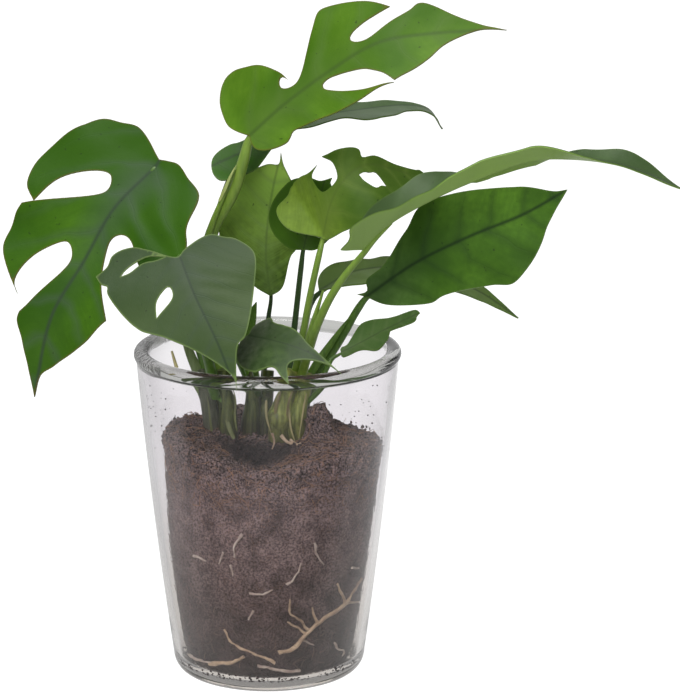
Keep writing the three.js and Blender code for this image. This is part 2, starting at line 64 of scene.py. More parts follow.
bpy.ops.object.camera_add(
    location=CAMERA_PLACE,
    rotation=(TARGET - CAMERA_PLACE).to_track_quat("-Z", "Y").to_euler(),
)
camera = bpy.context.object
camera.data.sensor_width = SENSOR
camera.data.lens = LENS_IN_PIXELS * SENSOR / IMAGE_LONG_SIDE
camera.data.dof.use_dof = False
bpy.context.scene.camera = camera
print("lens", round(camera.data.lens, 1), "mm")

# %% [markdown]
# ## Small helpers for working by hand
# Most operators act on everything that is selected, so each job starts by clearing
# the selection. A finished piece has its place in its mesh and its object at the
# origin, and it rides on the plant's only body. Most pieces wear one finish.


# %% Selecting and finishing
def deselect():
    if bpy.context.object and bpy.context.object.mode != "OBJECT":
        bpy.ops.object.mode_set(mode="OBJECT")
    bpy.ops.object.select_all(action="DESELECT")


def select_only(*pieces):
    deselect()
    for piece in pieces:
        piece.select_set(True)
    bpy.context.view_layer.objects.active = pieces[0]


def apply_modifiers(piece):
    select_only(piece)
    for modifier in list(piece.modifiers):
        bpy.ops.object.modifier_apply(modifier=modifier.name)


def join(pieces):
    select_only(*pieces)
    if len(pieces) > 1:
        bpy.ops.object.join()
    return bpy.context.object


def smooth(piece, angle):
    select_only(piece)
    bpy.ops.object.shade_smooth_by_angle(angle=math.radians(angle))


def face_outwards(piece, merge=0.001 * MM):
    select_only(piece)
    bpy.ops.object.mode_set(mode="EDIT")
    bpy.ops.mesh.select_all(action="SELECT")
    bpy.ops.mesh.remove_doubles(threshold=merge)
    bpy.ops.mesh.normals_make_consistent(inside=False)
    bpy.ops.object.mode_set(mode="OBJECT")


def declare(piece, name, slot, *nodes):
    """Give a piece its name and body, and hide the nodes that it stands for. Its slot is not used.
    """
    piece.name = piece.data.name = name
    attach(piece, "root")
    if nodes:
        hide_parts(*nodes)
    print(name, len(piece.data.polygons), "faces")


def finish_piece(piece, name, slot, finish, *nodes):
    select_only(piece)
    bpy.ops.object.transform_apply(location=True, rotation=True, scale=True)
    piece.data.materials.clear()
    piece.data.materials.append(finish)
    declare(piece, name, slot, *nodes)


# %% [markdown]
# ## Floor and light
# The glass only reads as glass when something darker stands at its sides, and the
# leaves want soft light from above. So the floor glows white where the plant is seen
# against it, and falls off to the sides and towards the camera. One wide lamp hangs
# above the plant, and another fills in from the front.

# %% Floor
FLOOR_SIZE = 12

deselect()
bpy.ops.mesh.primitive_plane_add(size=FLOOR_SIZE)
floor = bpy.context.object
floor.name = "floor"

# %% A white screen behind
SCREEN_SIZE = 3
SCREEN_PLACE = (0.03, 2.4, 1.2)

deselect()
bpy.ops.mesh.primitive_plane_add(
    size=SCREEN_SIZE, location=SCREEN_PLACE, rotation=(math.radians(90), 0, 0)
)
screen = bpy.context.object
screen.name = "screen"

# %% Lamps
LIT_PLACE = Vector((0.03, 0, 0.16))


def lamp(name, place, size, watts):
    aim = (LIT_PLACE - Vector(place)).to_track_quat("-Z", "Y").to_euler()
    bpy.ops.object.light_add(type="AREA", location=place, rotation=aim)
    light = bpy.context.object
    light.name = name
    light.data.shape = "DISK"
    light.data.size = size
    light.data.energy = watts
    return light


lamp("lamp_above", (-0.1, -0.35, 1.4), size=1.0, watts=11)
fill = lamp("lamp_front", (-0.5, -1.6, 0.9), size=1.0, watts=14)
fill.visible_glossy = False  # or the glass would mirror it as a bright spot

# %% Room
ROOM_LIGHT = (1.0, 1.0, 1.0, 1.0)
ROOM_STRENGTH = 0.28

room = bpy.data.worlds.new("room")
bpy.context.scene.world = room
room.use_nodes = True
background = room.node_tree.nodes["Background"]
background.inputs["Color"].default_value = ROOM_LIGHT
background.inputs["Strength"].default_value = ROOM_STRENGTH
bpy.context.scene.view_settings.view_transform = "Standard"
print("room strength", ROOM_STRENGTH)

# %% [markdown]
# ## Finishes
# Every finish is built from nodes on one Principled shader. A small helper adds a
# node, sets its values and wires its inputs in one call, so that each finish reads
# as a short recipe. Heights and distances inside a finish are in metres, as the
# coordinates are that a material reads.


# %% A helper for finishes
class Finish:
    def __init__(self, name, **shader_values):
        self.material = bpy.data.materials.new(name)
        self.material.use_nodes = True
        self.tree = self.material.node_tree
        self.shader = self.tree.nodes["Principled BSDF"]
        for socket, value in shader_values.items():
            self.shader.inputs[socket.replace("_", " ")].default_value = value

    def node(self, kind, settings=None, **sockets):
        made = self.tree.nodes.new("ShaderNode" + kind)
        for name, value in (settings or {}).items():
            setattr(made, name, value)
        for name, value in sockets.items():
            socket = made.inputs[int(name[1:]) if name[1:].isdigit() else name]
            self.feed(socket, value)
        return made

    def feed(self, socket, value):
        if isinstance(value, bpy.types.NodeSocket):
            self.tree.links.new(value, socket)
        else:
            socket.default_value = value

    def math(self, operation, first, second=0.0, third=0.0):
        return self.node(
            "Math", {"operation": operation}, _0=first, _1=second, _2=third
        ).outputs[0]

    def times(self, first, *others):
        for other in others:
            first = self.math("MULTIPLY", first, other)
        return first

    def gap(self, first, second):
        return self.math("ABSOLUTE", self.math("SUBTRACT", first, second))

    def place(self):
        return self.node("TexCoord").outputs["Object"]

    def on_axis(self, axis):
        return self.node("SeparateXYZ", Vector=self.place()).outputs[axis]

    def length(self, vector):
        return self.node("VectorMath", {"operation": "LENGTH"}, _0=vector).outputs["Value"]

    def mapped(self, scale, turn=(0, 0, 0), shift=(0, 0, 0)):
        return self.node(
            "Mapping", Vector=self.place(), Location=shift, Rotation=turn, Scale=scale
        ).outputs[0]

    def noise(self, scale, detail=4.0, at=None):
        return self.node(
            "TexNoise", Vector=at or self.place(), Scale=scale, Detail=detail
        ).outputs["Fac"]

    def stretch(self, value, low, high, to_low=0.0, to_high=1.0, course="LINEAR"):
        return self.node(
            "MapRange", {"interpolation_type": course},
            _0=value, _1=low, _2=high, _3=to_low, _4=to_high,
        ).outputs[0]

    def blend(self, share, first, second):
        mix = self.node("Mix", {"data_type": "RGBA"}, _0=share, _6=first, _7=second)
        return mix.outputs[2]

    def bump(self, height, strength, distance=0.5 * MM, normal=None):
        sockets = dict(Strength=strength, Distance=distance, Height=height)
        if normal is not None:
            sockets["Normal"] = normal
        return self.node("Bump", **sockets).outputs["Normal"]

    def out(self, **sockets):
        for name, value in sockets.items():
            self.feed(self.shader.inputs[name.replace("_", " ")], value)
        return self.material


def rgb(red, green, blue):
    """A colour as the eye reads it off a screen, 0 to 255, in Blender's linear light."""
    linear = [
        c / 12.92 if c <= 0.04045 else ((c + 0.055) / 1.055) ** 2.4
        for c in (red / 255, green / 255, blue / 255)
    ]
    return (*linear, 1.0)


# %% [markdown]
# ### Floor
# A floor that glows evenly would fill the glass with white and hide its edges. So the
# glow depends on two things: the place on the floor, and whether a ray comes straight
# from the camera or by way of the glass. In and through the glass the floor glows
# greyer, a painted reflection of a darker room, and under the glass's foot it glows
# less, a painted shadow.

# %% Floor finish
PLANT_MIDDLE = 0.032
GLASS_MIDDLE = 0.03
VIEW_SPREAD = -0.1
FLOOR_COLOUR = (0.25, 0.25, 0.25, 1)
WHITE = (1, 1, 1, 1)


def floor_finish():
    made = Finish("pale floor", Roughness=0.9, Specular_IOR_Level=0.0)
    x, y = made.on_axis("X"), made.on_axis("Y")
    from_plant = made.math("MULTIPLY_ADD", y, VIEW_SPREAD, made.gap(x, PLANT_MIDDLE))
    direct = made.stretch(from_plant, 0.165, 0.29, 1, 0.05)

    # Painted reflection: seen in and through the glass, the floor glows greyer.
    from_glass = made.math("MULTIPLY_ADD", y, VIEW_SPREAD, made.gap(x, GLASS_MIDDLE))
    painted_glass_reflection = made.times(
        made.stretch(from_glass, 0.06, 0.15, 0.77, 0.46), made.stretch(y, 0.02, 0.3, 0.76, 1)
    )
    path = made.node("LightPath").outputs
    by_glass = made.math("MAXIMUM", path["Is Glossy Ray"], path["Is Transmission Ray"])
    change = made.math("SUBTRACT", painted_glass_reflection, direct)
    sideways = made.math("MULTIPLY_ADD", by_glass, change, direct)

    near_front = made.stretch(y, -0.11, -0.045, 0.05, 1)
    far_front = made.stretch(y, -0.34, -0.12, 0.5, 0)
    in_front = made.math("MAXIMUM", near_front, far_front)
    # Painted shadow: the floor glows less under the glass's foot, where it is seen only through the
    # glass.
    painted_foot_shadow = made.stretch(made.length(made.place()), 0.032, 0.039, 0.4, 1)
    glow = made.times(sideways, in_front, painted_foot_shadow)
    return made.out(Base_Color=FLOOR_COLOUR, Emission_Color=WHITE, Emission_Strength=glow)


floor.data.materials.append(floor_finish())

# %% Screen finish
SCREEN_COLOUR = (0.4, 0.4, 0.4, 1)
SCREEN_GLOW = 0.6

screen_finish = Finish("white screen", Roughness=0.9)
screen.data.materials.append(
    screen_finish.out(
        Base_Color=SCREEN_COLOUR, Emission_Color=WHITE, Emission_Strength=SCREEN_GLOW
    )
)
print("stage finishes", floor.active_material.name, "and", screen.active_material.name)

# %% [markdown]
# ### Glass
# Real glass bends what is behind it. Light from lamps has to reach the peat through
# the glass, which a path tracer finds only by luck, so rays that look for lamps pass
# straight through a clear shader instead. The tint depends on the height. It is greyer
# low in the wall and browner in the foot, a painted shade that darkens the bottom of the
# peat seen through them. It is darker in the thick rim, partly for its thickness and
# partly as a painted reflection of the darker room. Small bubbles lie at the rim's left end.

# %% Glass finish
WALL_TINT = (0.965, 0.945, 0.965, 1)
# Painted shade: the low wall and the foot darken what is seen through them.
LOW_SHADE_TINT = (0.84, 0.81, 0.785, 1)
FOOT_SHADE_TINT = (0.72, 0.66, 0.6, 1)
# The rim's darker tint stands for its thickness and for a painted reflection of the darker room.
RIM_TINT_AND_REFLECTION = (0.6, 0.6, 0.58, 1)


def glass_finish():
    made = Finish(
        "clear glass", Roughness=0.0, IOR=1.47, Transmission_Weight=1.0, Specular_IOR_Level=0.3
    )
    height = made.on_axis("Z")
    tint = made.blend(made.stretch(height, 0.03, 0.1), LOW_SHADE_TINT, WALL_TINT)
    tint = made.blend(made.stretch(height, 0.004, 0.01), FOOT_SHADE_TINT, tint)
    tint = made.blend(made.stretch(height, 0.1435, 0.145), tint, RIM_TINT_AND_REFLECTION)
    at_left = made.stretch(made.on_axis("X"), -0.046, -0.053)
    bubbles = made.times(made.noise(620, 3), at_left, made.stretch(height, 0.1435, 0.1445))
    shadow_ray = made.node("LightPath").outputs["Is Shadow Ray"]
    clear = made.node("BsdfTransparent").outputs[0]
    mix = made.node("MixShader", _0=shadow_ray, _1=made.shader.outputs["BSDF"], _2=clear)
    made.feed(made.tree.nodes["Material Output"].inputs["Surface"], mix.outputs[0])
    return made.out(Base_Color=tint, Normal=made.bump(bubbles, 1.0, 1.6 * MM))


clear_glass = glass_finish()

# %% [markdown]
# ### Peat
# Moist peat is dark, with short rusty fibres lying through it. Its grain is painted
# with shade: almost black where the grain's bump is low, and a warm, slightly purple
# brown where it is high. Where the pot pressed it, its side has less contrast. The ball
# is painted darker towards its bottom, and the hollow in front of the stems is painted
# dark as shade.

# %% Peat finish
HOLLOW_PLACE = (-4, -20)
HOLLOW_REACH = (20, 13)
SHADED_HOLLOW_SCALE = (1 / HOLLOW_REACH[0] / MM, 1 / HOLLOW_REACH[1] / MM, 0)
HOLLOW_CENTRE = [place / reach for place, reach in zip(HOLLOW_PLACE, HOLLOW_REACH)]
SHADED_HOLLOW_SHIFT = (-HOLLOW_CENTRE[0], -HOLLOW_CENTRE[1], 0)
PRESSED_SHARE = 0.32


def mixed(share, first, second):
    return tuple((1 - share) * a + share * b for a, b in zip(first, second))


def peat_finish(name, dark, middle, rusty):
    made = Finish(name, Roughness=0.9, Specular_IOR_Level=0.25)
    grain = made.noise(1150, 7)
    clump = made.noise(110, 5)
    height = made.on_axis("Z")
    at_top = made.stretch(height, 0.088, 0.108)
    pressed = made.blend(at_top, mixed(PRESSED_SHARE, dark, middle), dark)
    # Painted shade in the grain: dark where the grain's bump is low, lighter where it is high.
    peat_colour_and_shade = made.blend(made.stretch(grain, 0.38, 0.62), pressed, middle)
    peat_colour_and_shade = made.blend(made.stretch(clump, 0.42, 0.68, 0, 0.55), peat_colour_and_shade, dark)
    leaning = made.mapped((1.0, 1.0, 0.25), turn=(0.5, 0.7, 0.0))
    level = made.mapped((0.25, 0.25, 1.0))
    fibre = made.math("MAXIMUM", made.noise(1500, 3, leaning), made.noise(1700, 3, level))
    warm = made.stretch(height, 0.07, 0.1, 0.12, 0.6)
    peat_colour_and_shade = made.blend(made.times(made.stretch(fibre, 0.6, 0.7), warm), peat_colour_and_shade, rusty)
    # Painted shade: darker towards the bottom of the ball.
    peat_colour_and_shade = made.blend(made.stretch(height, 0.01, 0.065, 0.75, 0.0), peat_colour_and_shade, dark)
    # Painted shade in the hollow in front of the stems.
    inside = made.length(made.mapped(SHADED_HOLLOW_SCALE, shift=SHADED_HOLLOW_SHIFT))
    shade = made.stretch(inside, 0.6, 1.3, 0.8, 0.0)
    peat_colour_and_shade = made.blend(made.times(shade, made.stretch(height, 0.095, 0.102)), peat_colour_and_shade, dark)
    return made.out(Base_Color=peat_colour_and_shade, Normal=made.bump(grain, 0.9, 1.0 * MM))


peat = peat_finish("moist peat", rgb(20, 15, 16), rgb(144, 124, 122), rgb(168, 128, 100))

# %% [markdown]
# ### Roots, stalks and stems
# Young roots are pale and slightly glassy, older ones tan. Stalks are smooth, and fine
# darker lines run along them. Their own length coordinate isn't needed: noise that is
# squeezed along Z gives lines that follow an upright stalk.


# %% Root and stalk finishes
def root_finish(name, pale, dark):
    made = Finish(name, Roughness=0.5)
    patches = made.noise(260, 4)
    colour = made.blend(made.stretch(patches, 0.35, 0.7), pale, dark)
    return made.out(Base_Color=colour, Normal=made.bump(made.noise(900, 3), 0.4, 0.3 * MM))


def stalk_finish(name, light, deep):
    made = Finish(name, Roughness=0.38, Coat_Weight=0.15)
    lines = made.noise(700, 3, made.mapped((1.0, 1.0, 0.06)))
    shade = made.noise(30, 2)
    colour = made.blend(made.stretch(lines, 0.3, 0.7, 0.1, 0.7), light, deep)
    colour = made.blend(made.stretch(shade, 0.4, 0.7, 0, 0.4), colour, deep)
    return made.out(Base_Color=colour, Normal=made.bump(lines, 0.25, 0.3 * MM))


tan_root = root_finish("tan root", rgb(188, 165, 140), rgb(140, 116, 96))
pale_root = root_finish("pale root", rgb(186, 172, 162), rgb(140, 122, 114))
fibre_root = root_finish("rusty fibre", rgb(150, 108, 76), rgb(104, 76, 60))
stalk_pale = stalk_finish("pale stalk", rgb(140, 168, 70), rgb(98, 132, 46))
stalk_green = stalk_finish("green stalk", rgb(92, 128, 46), rgb(52, 84, 28))
stalk_dark = stalk_finish("dark stalk", rgb(58, 86, 38), rgb(34, 56, 24))

# %% [markdown]
# ### Leaves
# A leaf carries its own map: U runs along the midrib and V out from it, both as shares
# of the leaf's length. The side veins are soft bands of that map, curved towards the
# tip, and two attributes of the mesh say how far a point is from the edge and which
# side of the blade it is on. Every leaf has its own age, so it has its own greens. On
# some leaves these greens also carry painted light, shade and sheen, and the zone beside
# the midrib is partly a painted sheen.

# %% Leaf finish
VEINS = 6.5
VEIN_LEAN = 0.62
VEIN_BEND = 0.5
BROWN_MARGIN = rgb(112, 92, 44)
GREEN_MARGIN = rgb(132, 158, 84)
PLAIN_MARGIN = rgb(92, 120, 50)
PALE_BACK = rgb(132, 158, 92)
DARK_RIB = rgb(24, 40, 20)
SPECK = rgb(34, 40, 28)


def side_veins(made, along, out):
    """Along and out in the slanted rows of the side veins, and the gap to the nearest."""
    lean = made.times(out, VEIN_LEAN)
    bend = made.times(out, out, VEIN_BEND)
    row = made.math("SUBTRACT", made.math("SUBTRACT", along, lean), bend)
    row = made.math("MULTIPLY_ADD", made.noise(38, 2), 0.16, row)
    phase = made.math("FRACT", made.math("MULTIPLY_ADD", row, VEINS, 20.0))
    return row, made.gap(phase, 0.5)


def leaf_finish(
    name, light, deep, rib, margin=PLAIN_MARGIN, shine=0.14, under=None, start=None,
    reach=0.5, fleck=0.3, rib_strength=0.8,
):
    made = Finish(name, Roughness=0.42, Specular_IOR_Level=shine)
    leaf_map = made.node("UVMap", {"uv_map": "leaf"}).outputs[0]
    axes = made.node("SeparateXYZ", Vector=leaf_map)
    along, out = axes.outputs["X"], made.math("ABSOLUTE", axes.outputs["Y"])
    row, from_vein = side_veins(made, along, out)
    band = made.stretch(from_vein, 0.0, 0.24, 1.0, 0.0, "SMOOTHSTEP")
    line = made.stretch(from_vein, 0.0, 0.035, 1.0, 0.0)
    fade = made.stretch(out, 0.02, 0.36, 1.0, 0.0)

    strip = made.node("CombineXYZ", X=made.times(row, 46.0), Y=out, Z=0.0)
    streak = made.noise(1.6, 4, strip.outputs[0])
    patch = made.noise(24, 3)
    mottle = made.noise(330, 5)
    colour = made.blend(made.stretch(patch, 0.36, 0.66), deep, light)
    # Near the joint the colour turns to start. On leaf_back, leaf_right and leaf_front this is
    # painted light and shade where other leaves shade them.
    if start:
        near_joint = made.stretch(along, 0.0, reach, 1.0, 0.0, "SMOOTHSTEP")
        colour = made.blend(near_joint, colour, start)
    colour = made.blend(made.stretch(streak, 0.3, 0.75, 0.0, 0.3), colour, deep)
    colour = made.blend(made.stretch(mottle, 0.35, 0.7, 0.0, fleck), colour, deep)
    colour = made.blend(made.times(band, fade, 0.4), colour, rib)
    colour = made.blend(made.times(line, fade, 0.12), colour, rib)
    # A wide zone beside the midrib takes the rib's colour: the midrib's own paler tone, and a
    # painted sheen where the rib colour is grey-blue.
    rib_zone_and_sheen = made.times(
        made.stretch(out, 0.0, 0.12, 0.62, 0.0),
        made.stretch(along, 0.1, 0.65, 1, 0.15),
        made.stretch(along, -0.02, 0.05),
    )
    colour = made.blend(rib_zone_and_sheen, colour, rib)
    on_rib = made.stretch(out, 0.002, 0.012, rib_strength, 0.0)
    colour = made.blend(on_rib, colour, mixed(0.5, rib, DARK_RIB))
    colour = made.blend(made.stretch(made.noise(520, 1), 0.74, 0.79, 0.0, 0.6), colour, SPECK)
    edge = made.node("Attribute", {"attribute_name": "margin"}).outputs["Fac"]
    colour = made.blend(made.stretch(edge, 0.0, 0.75, 0.5, 0.0), colour, margin)
    upper = made.node("Attribute", {"attribute_name": "upper"}).outputs["Fac"]
    colour = made.blend(upper, under or made.blend(0.5, colour, PALE_BACK), colour)

    pores = made.bump(made.noise(1500, 2), 0.06, 0.1 * MM)
    relief = made.math("MULTIPLY_ADD", line, -0.4, made.times(streak, 0.4))
    relief = made.math("ADD", relief, made.times(mottle, 0.8))
    return made.out(Base_Color=colour, Normal=made.bump(relief, 0.3, 0.3 * MM, pores))


LEAF_LOOKS = {
    # leaf_left: its grey-blue rib colour, spread beside the midrib, is a painted sheen.
    "leaf_left": dict(
        light=rgb(74, 116, 26), deep=rgb(50, 88, 18), rib=rgb(72, 90, 70), margin=BROWN_MARGIN,
        shine=0.09, start=rgb(52, 90, 20), reach=0.45,
    ),
    # leaf_front_left: its greyish greens are its own green with a painted sheen of the lamp above.
    "leaf_front_left": dict(
        light=rgb(82, 100, 62), deep=rgb(62, 82, 44), rib=rgb(64, 80, 60), margin=GREEN_MARGIN,
        shine=0.21, start=rgb(56, 76, 44), reach=0.35,
    ),
    "leaf_top": dict(
        light=rgb(102, 142, 38), deep=rgb(66, 106, 18), rib=rgb(84, 114, 50), margin=BROWN_MARGIN,
        shine=0.12, rib_strength=0.55,
    ),
    # leaf_top_behind: the grey light and deep colours are a painted reflection on its upturned
    # part; near the joint it keeps its own saturated green.
    "leaf_top_behind": dict(
        light=rgb(86, 110, 68), deep=rgb(68, 92, 52), rib=rgb(62, 88, 48), shine=0.2,
        start=rgb(52, 98, 10), reach=0.16,
    ),
    # leaf_back: the very light greens are painted light where leaf_top shades it, and the dark
    # start colour, fading over its length, is painted shade.
    "leaf_back": dict(
        light=rgb(206, 243, 112), deep=rgb(160, 203, 86), rib=rgb(126, 156, 84),
        start=rgb(16, 38, 6), reach=1.05, rib_strength=0.5,
    ),
    "leaf_round": dict(light=rgb(72, 108, 28), deep=rgb(54, 86, 20), rib=rgb(66, 90, 44)),
    "leaf_young": dict(
        light=rgb(80, 110, 34), deep=rgb(56, 86, 22), rib=rgb(104, 128, 54),
        start=rgb(126, 154, 54), reach=0.32, rib_strength=0.3,
    ),
    "leaf_long": dict(
        light=rgb(76, 98, 58), deep=rgb(56, 80, 40), rib=rgb(84, 108, 66), shine=0.25,
        under=rgb(140, 174, 84),
    ),
    # leaf_right: the lighter start colour is painted light where leaf_long shades it near the
    # joint.
    "leaf_right": dict(
        light=rgb(94, 138, 42), deep=rgb(56, 90, 28), rib=rgb(36, 58, 30),
        start=rgb(92, 122, 66), reach=0.35, fleck=0.5,
    ),
    "leaf_arching": dict(light=rgb(124, 152, 78), deep=rgb(92, 120, 54), rib=rgb(100, 122, 70)),
    "leaf_rim": dict(light=rgb(96, 124, 68), deep=rgb(66, 96, 46), rib=rgb(100, 122, 76)),
    "leaf_small": dict(light=rgb(92, 130, 46), deep=rgb(66, 100, 30), rib=rgb(92, 118, 54)),
    # leaf_front: the lighter grey start colour is painted light where leaf_front_left shades it.
    "leaf_front": dict(
        light=rgb(74, 100, 44), deep=rgb(40, 62, 24), rib=rgb(60, 78, 46), margin=GREEN_MARGIN,
        shine=0.28, start=rgb(96, 104, 86), reach=0.45, fleck=0.8,
    ),
}
print("finishes", len(bpy.data.materials))

# %% [markdown]
# ## The glass
# A pressed tumbler is a body of revolution. One vertex is extruded along the wall's
# profile, out from the middle of the foot, up the outside, over the rolled rim and
# down the inside to the middle of the floor, and the line is then spun round the
# axis. That gives one closed wall of true thickness, which glass needs.

# %% Measures of the glass
GLASS_HEIGHT = 150
GLASS_FOOT_RADIUS = 38
GLASS_BASE_THICKNESS = 5
GLASS_WALL = 2.9
GLASS_CORNER = 8
INNER_CORNER = 5
WALL_START = 42.6
WALL_FLARE = 21.3
WALL_CURVE = 4.5
RIM_RADIUS = 60
RIM_WIDTH = 7
RIM_HEIGHT = 6


def wall_radius(height):
    t = height / GLASS_HEIGHT
    return WALL_START + WALL_FLARE * t - WALL_CURVE * t * t


# %% Spinning a profile
def spin_profile(profile, steps):
    """A closed body of revolution from [radius, height] points that start and end on Z."""
    deselect()
    bpy.ops.mesh.primitive_plane_add(size=MM)
    bpy.ops.object.mode_set(mode="EDIT")
    bpy.ops.mesh.merge(type="CENTER")
    place = Vector((profile[0][0], 0, profile[0][1])) * MM
    bpy.ops.transform.translate(value=place)
    for radius, height in profile[1:]:
        step = Vector((radius, 0, height)) * MM - place
        bpy.ops.mesh.extrude_region_move(TRANSFORM_OT_translate={"value": step})
        place += step
    bpy.ops.mesh.select_all(action="SELECT")
    bpy.ops.mesh.spin(steps=steps, angle=math.tau, center=(0, 0, 0), axis=(0, 0, 1))
    bpy.ops.object.mode_set(mode="OBJECT")
    piece = bpy.context.object
    face_outwards(piece)
    return piece


def arc(centre, across, up, start, end, count):
    """Points of an upright ellipse from angle start to angle end, in degrees."""
    angles = [math.radians(start + (end - start) * i / count) for i in range(count + 1)]
    return [
        (centre[0] + across * math.cos(a), centre[1] + up * math.sin(a)) for a in angles
    ]


# %% The tumbler
WALL_RINGS = 22
RIM_POINTS = 22
CORNER_POINTS = 8
GLASS_STEPS = 160


def tumbler_profile():
    corner_reach = wall_radius(GLASS_CORNER) - GLASS_FOOT_RADIUS
    corner_start = (GLASS_FOOT_RADIUS, GLASS_CORNER)
    corner = arc(corner_start, corner_reach, GLASS_CORNER, -90, 0, CORNER_POINTS)
    rise = GLASS_HEIGHT - RIM_HEIGHT - GLASS_CORNER
    heights = [GLASS_CORNER + rise * i / WALL_RINGS for i in range(1, WALL_RINGS + 1)]
    outside = [(wall_radius(z), z) for z in heights]
    inside = [(wall_radius(z) - GLASS_WALL, z) for z in reversed(heights[1:])]
    rim_middle = (RIM_RADIUS - RIM_WIDTH / 2, GLASS_HEIGHT - RIM_HEIGHT / 2)
    rim = arc(rim_middle, RIM_WIDTH / 2, RIM_HEIGHT / 2, -38, 218, RIM_POINTS)
    inner = wall_radius(GLASS_CORNER) - GLASS_WALL
    floor_start = (inner - INNER_CORNER, GLASS_BASE_THICKNESS + INNER_CORNER)
    floor_corner = arc(floor_start, INNER_CORNER, INNER_CORNER, 0, -90, CORNER_POINTS)
    return [(0, 0), *corner, *outside, *rim, *inside, *floor_corner, (0, GLASS_BASE_THICKNESS)]


tumbler = spin_profile(tumbler_profile(), GLASS_STEPS)
smooth(tumbler, 60)
finish_piece(tumbler, "tumbler", "clear_glass", clear_glass, "glass")

# %% [markdown]
# ## The root ball
# The ball of peat was pressed by its nursery pot, so its side is smooth and its top
# crumbled. It is spun from a profile like the glass, made finer, and roughened by two
# Displace modifiers: one for crumbs, one for the grain.

# %% Measures of the root ball
PEAT_CLEARANCE = 2.5
PEAT_CORNER = 16
PEAT_CORNER_CURVE = 0.02
PEAT_FOOT_RADIUS = 36
PEAT_SHOULDER = 106
PEAT_HOLLOW = 108
PEAT_BOTTOM = GLASS_BASE_THICKNESS + 0.3
HEAP_PLACE = (22.5, -6)
HEAP_HEIGHT = 14
HEAP_REACH = 6
DIPS = [
    # place, depth and reach
    ((-4, -34), 10, 18),
    ((-27, 27), 3.2, 17),
    ((33, 34), 8, 13),
    ((41, 20), 6, 12),
]
DRAWN_IN = 0.062
LEANING_OUT = 0.02
TOP_LIFT = 0.3
TOP_SLOPE = 0.045


def ball_radius(height):
    draw_in = PEAT_CORNER_CURVE * max(0, PEAT_CORNER - height) ** 2
    return wall_radius(height) - GLASS_WALL - PEAT_CLEARANCE - draw_in


def ramp(value, start, reach):
    """From 0 at start to 1 beyond its reach."""
    return max(0, min(1, (value - start) / reach))


def settled(place):
    """The ball is drawn in and stands higher on the left, and leans to the glass on the right."""
    x, y, z = place
    side = min(1, abs(x) / 30)
    if x < 0:
        change = 1 - DRAWN_IN * side * ramp(z, 55, 45)
    else:
        change = 1 + LEANING_OUT * side * ramp(z, 30, 30)
    lift = (TOP_LIFT - TOP_SLOPE * x) * ramp(z, 84, 22)
    return Vector((x * change, y * change, z + lift))


def on_ball(azimuth, height, lift=0.0):
    """A place on the side of the root ball, in metres."""
    radius = ball_radius(height) + lift
    angle = math.radians(azimuth)
    return settled((radius * math.cos(angle), radius * math.sin(angle), height)) * MM


# %% The ball
PEAT_RINGS = 44
PEAT_STEPS = 180
SMOOTH_SIDE = 0.25
NOISE_MIDDLE = 0.55
PEAT_SIDE_START = 8.3
PEAT_CROWN = [
    (49.5, 108.6), (48.6, 110), (46, 110.9), (44, 111), (41.5, 111.4), (39, 111.7), (36, 112),
    (33.5, 112), (31, 112), (28, 112), (25.5, 112), (23, 111), (20, 110), (17.5, 109.3),
    (15, 108.8), (12, 108.5), (8, 108.2),
]


def root_ball_profile():
    rise = PEAT_SHOULDER - PEAT_SIDE_START
    heights = [PEAT_SIDE_START + rise * i / PEAT_RINGS for i in range(PEAT_RINGS + 1)]
    side = [(ball_radius(z), z) for z in heights]
    foot = [(radius, PEAT_BOTTOM) for radius in (12, 22, PEAT_FOOT_RADIUS)]
    return [(0, PEAT_BOTTOM), *foot, *side, *PEAT_CROWN, (4, PEAT_HOLLOW), (0, PEAT_HOLLOW)]


def displace(piece, kind, size, strength, group):
    texture = bpy.data.textures.new(kind.lower(), kind)
    texture.noise_scale = size
    modifier = piece.modifiers.new(kind.lower(), "DISPLACE")
    modifier.texture = texture
    modifier.texture_coords = "LOCAL"
    modifier.strength = strength
    modifier.mid_level = NOISE_MIDDLE
    modifier.vertex_group = group


def heap_and_dips(x, y):
    """How far the top rises over its profile at a place, in mm."""
    heap = math.dist((x, y), HEAP_PLACE) / HEAP_REACH
    rise = HEAP_HEIGHT * math.exp(-(heap ** 6))
    for dip, depth, reach in DIPS:
        rise -= depth * math.exp(-((math.dist((x, y), dip) / reach) ** 2))
    return rise


root_ball = spin_profile(root_ball_profile(), PEAT_STEPS)
rough = root_ball.vertex_groups.new(name="rough")
for vertex in root_ball.data.vertices:
    x, y, z = vertex.co / MM
    if z > PEAT_SHOULDER + 1:
        vertex.co.z += heap_and_dips(x, y) * MM
    vertex.co = settled(vertex.co / MM) * MM
    crumbly = max(SMOOTH_SIDE, ramp(z, 80, 26)) if z > PEAT_SIDE_START + 0.2 else 0.0
    rough.add([vertex.index], crumbly, "REPLACE")


# %% Its crumbly surface
finer = root_ball.modifiers.new("finer", "SUBSURF")
finer.subdivision_type = "SIMPLE"
finer.levels = finer.render_levels = 1
displace(root_ball, "CLOUDS", 6 * MM, 4.2 * MM, "rough")
displace(root_ball, "VORONOI", 2.4 * MM, -2.2 * MM, "rough")
apply_modifiers(root_ball)
smooth(root_ball, 70)
finish_piece(root_ball, "peat_ball", "peat", peat, "root_ball")

# %% [markdown]
# ## Roots
# Roots that grew along the pot's wall show on the side of the ball. Each is a curve
# through listed places on the ball, with a round bevel that thins towards its
# end, turned into a mesh. A root that forks is several such curves joined.


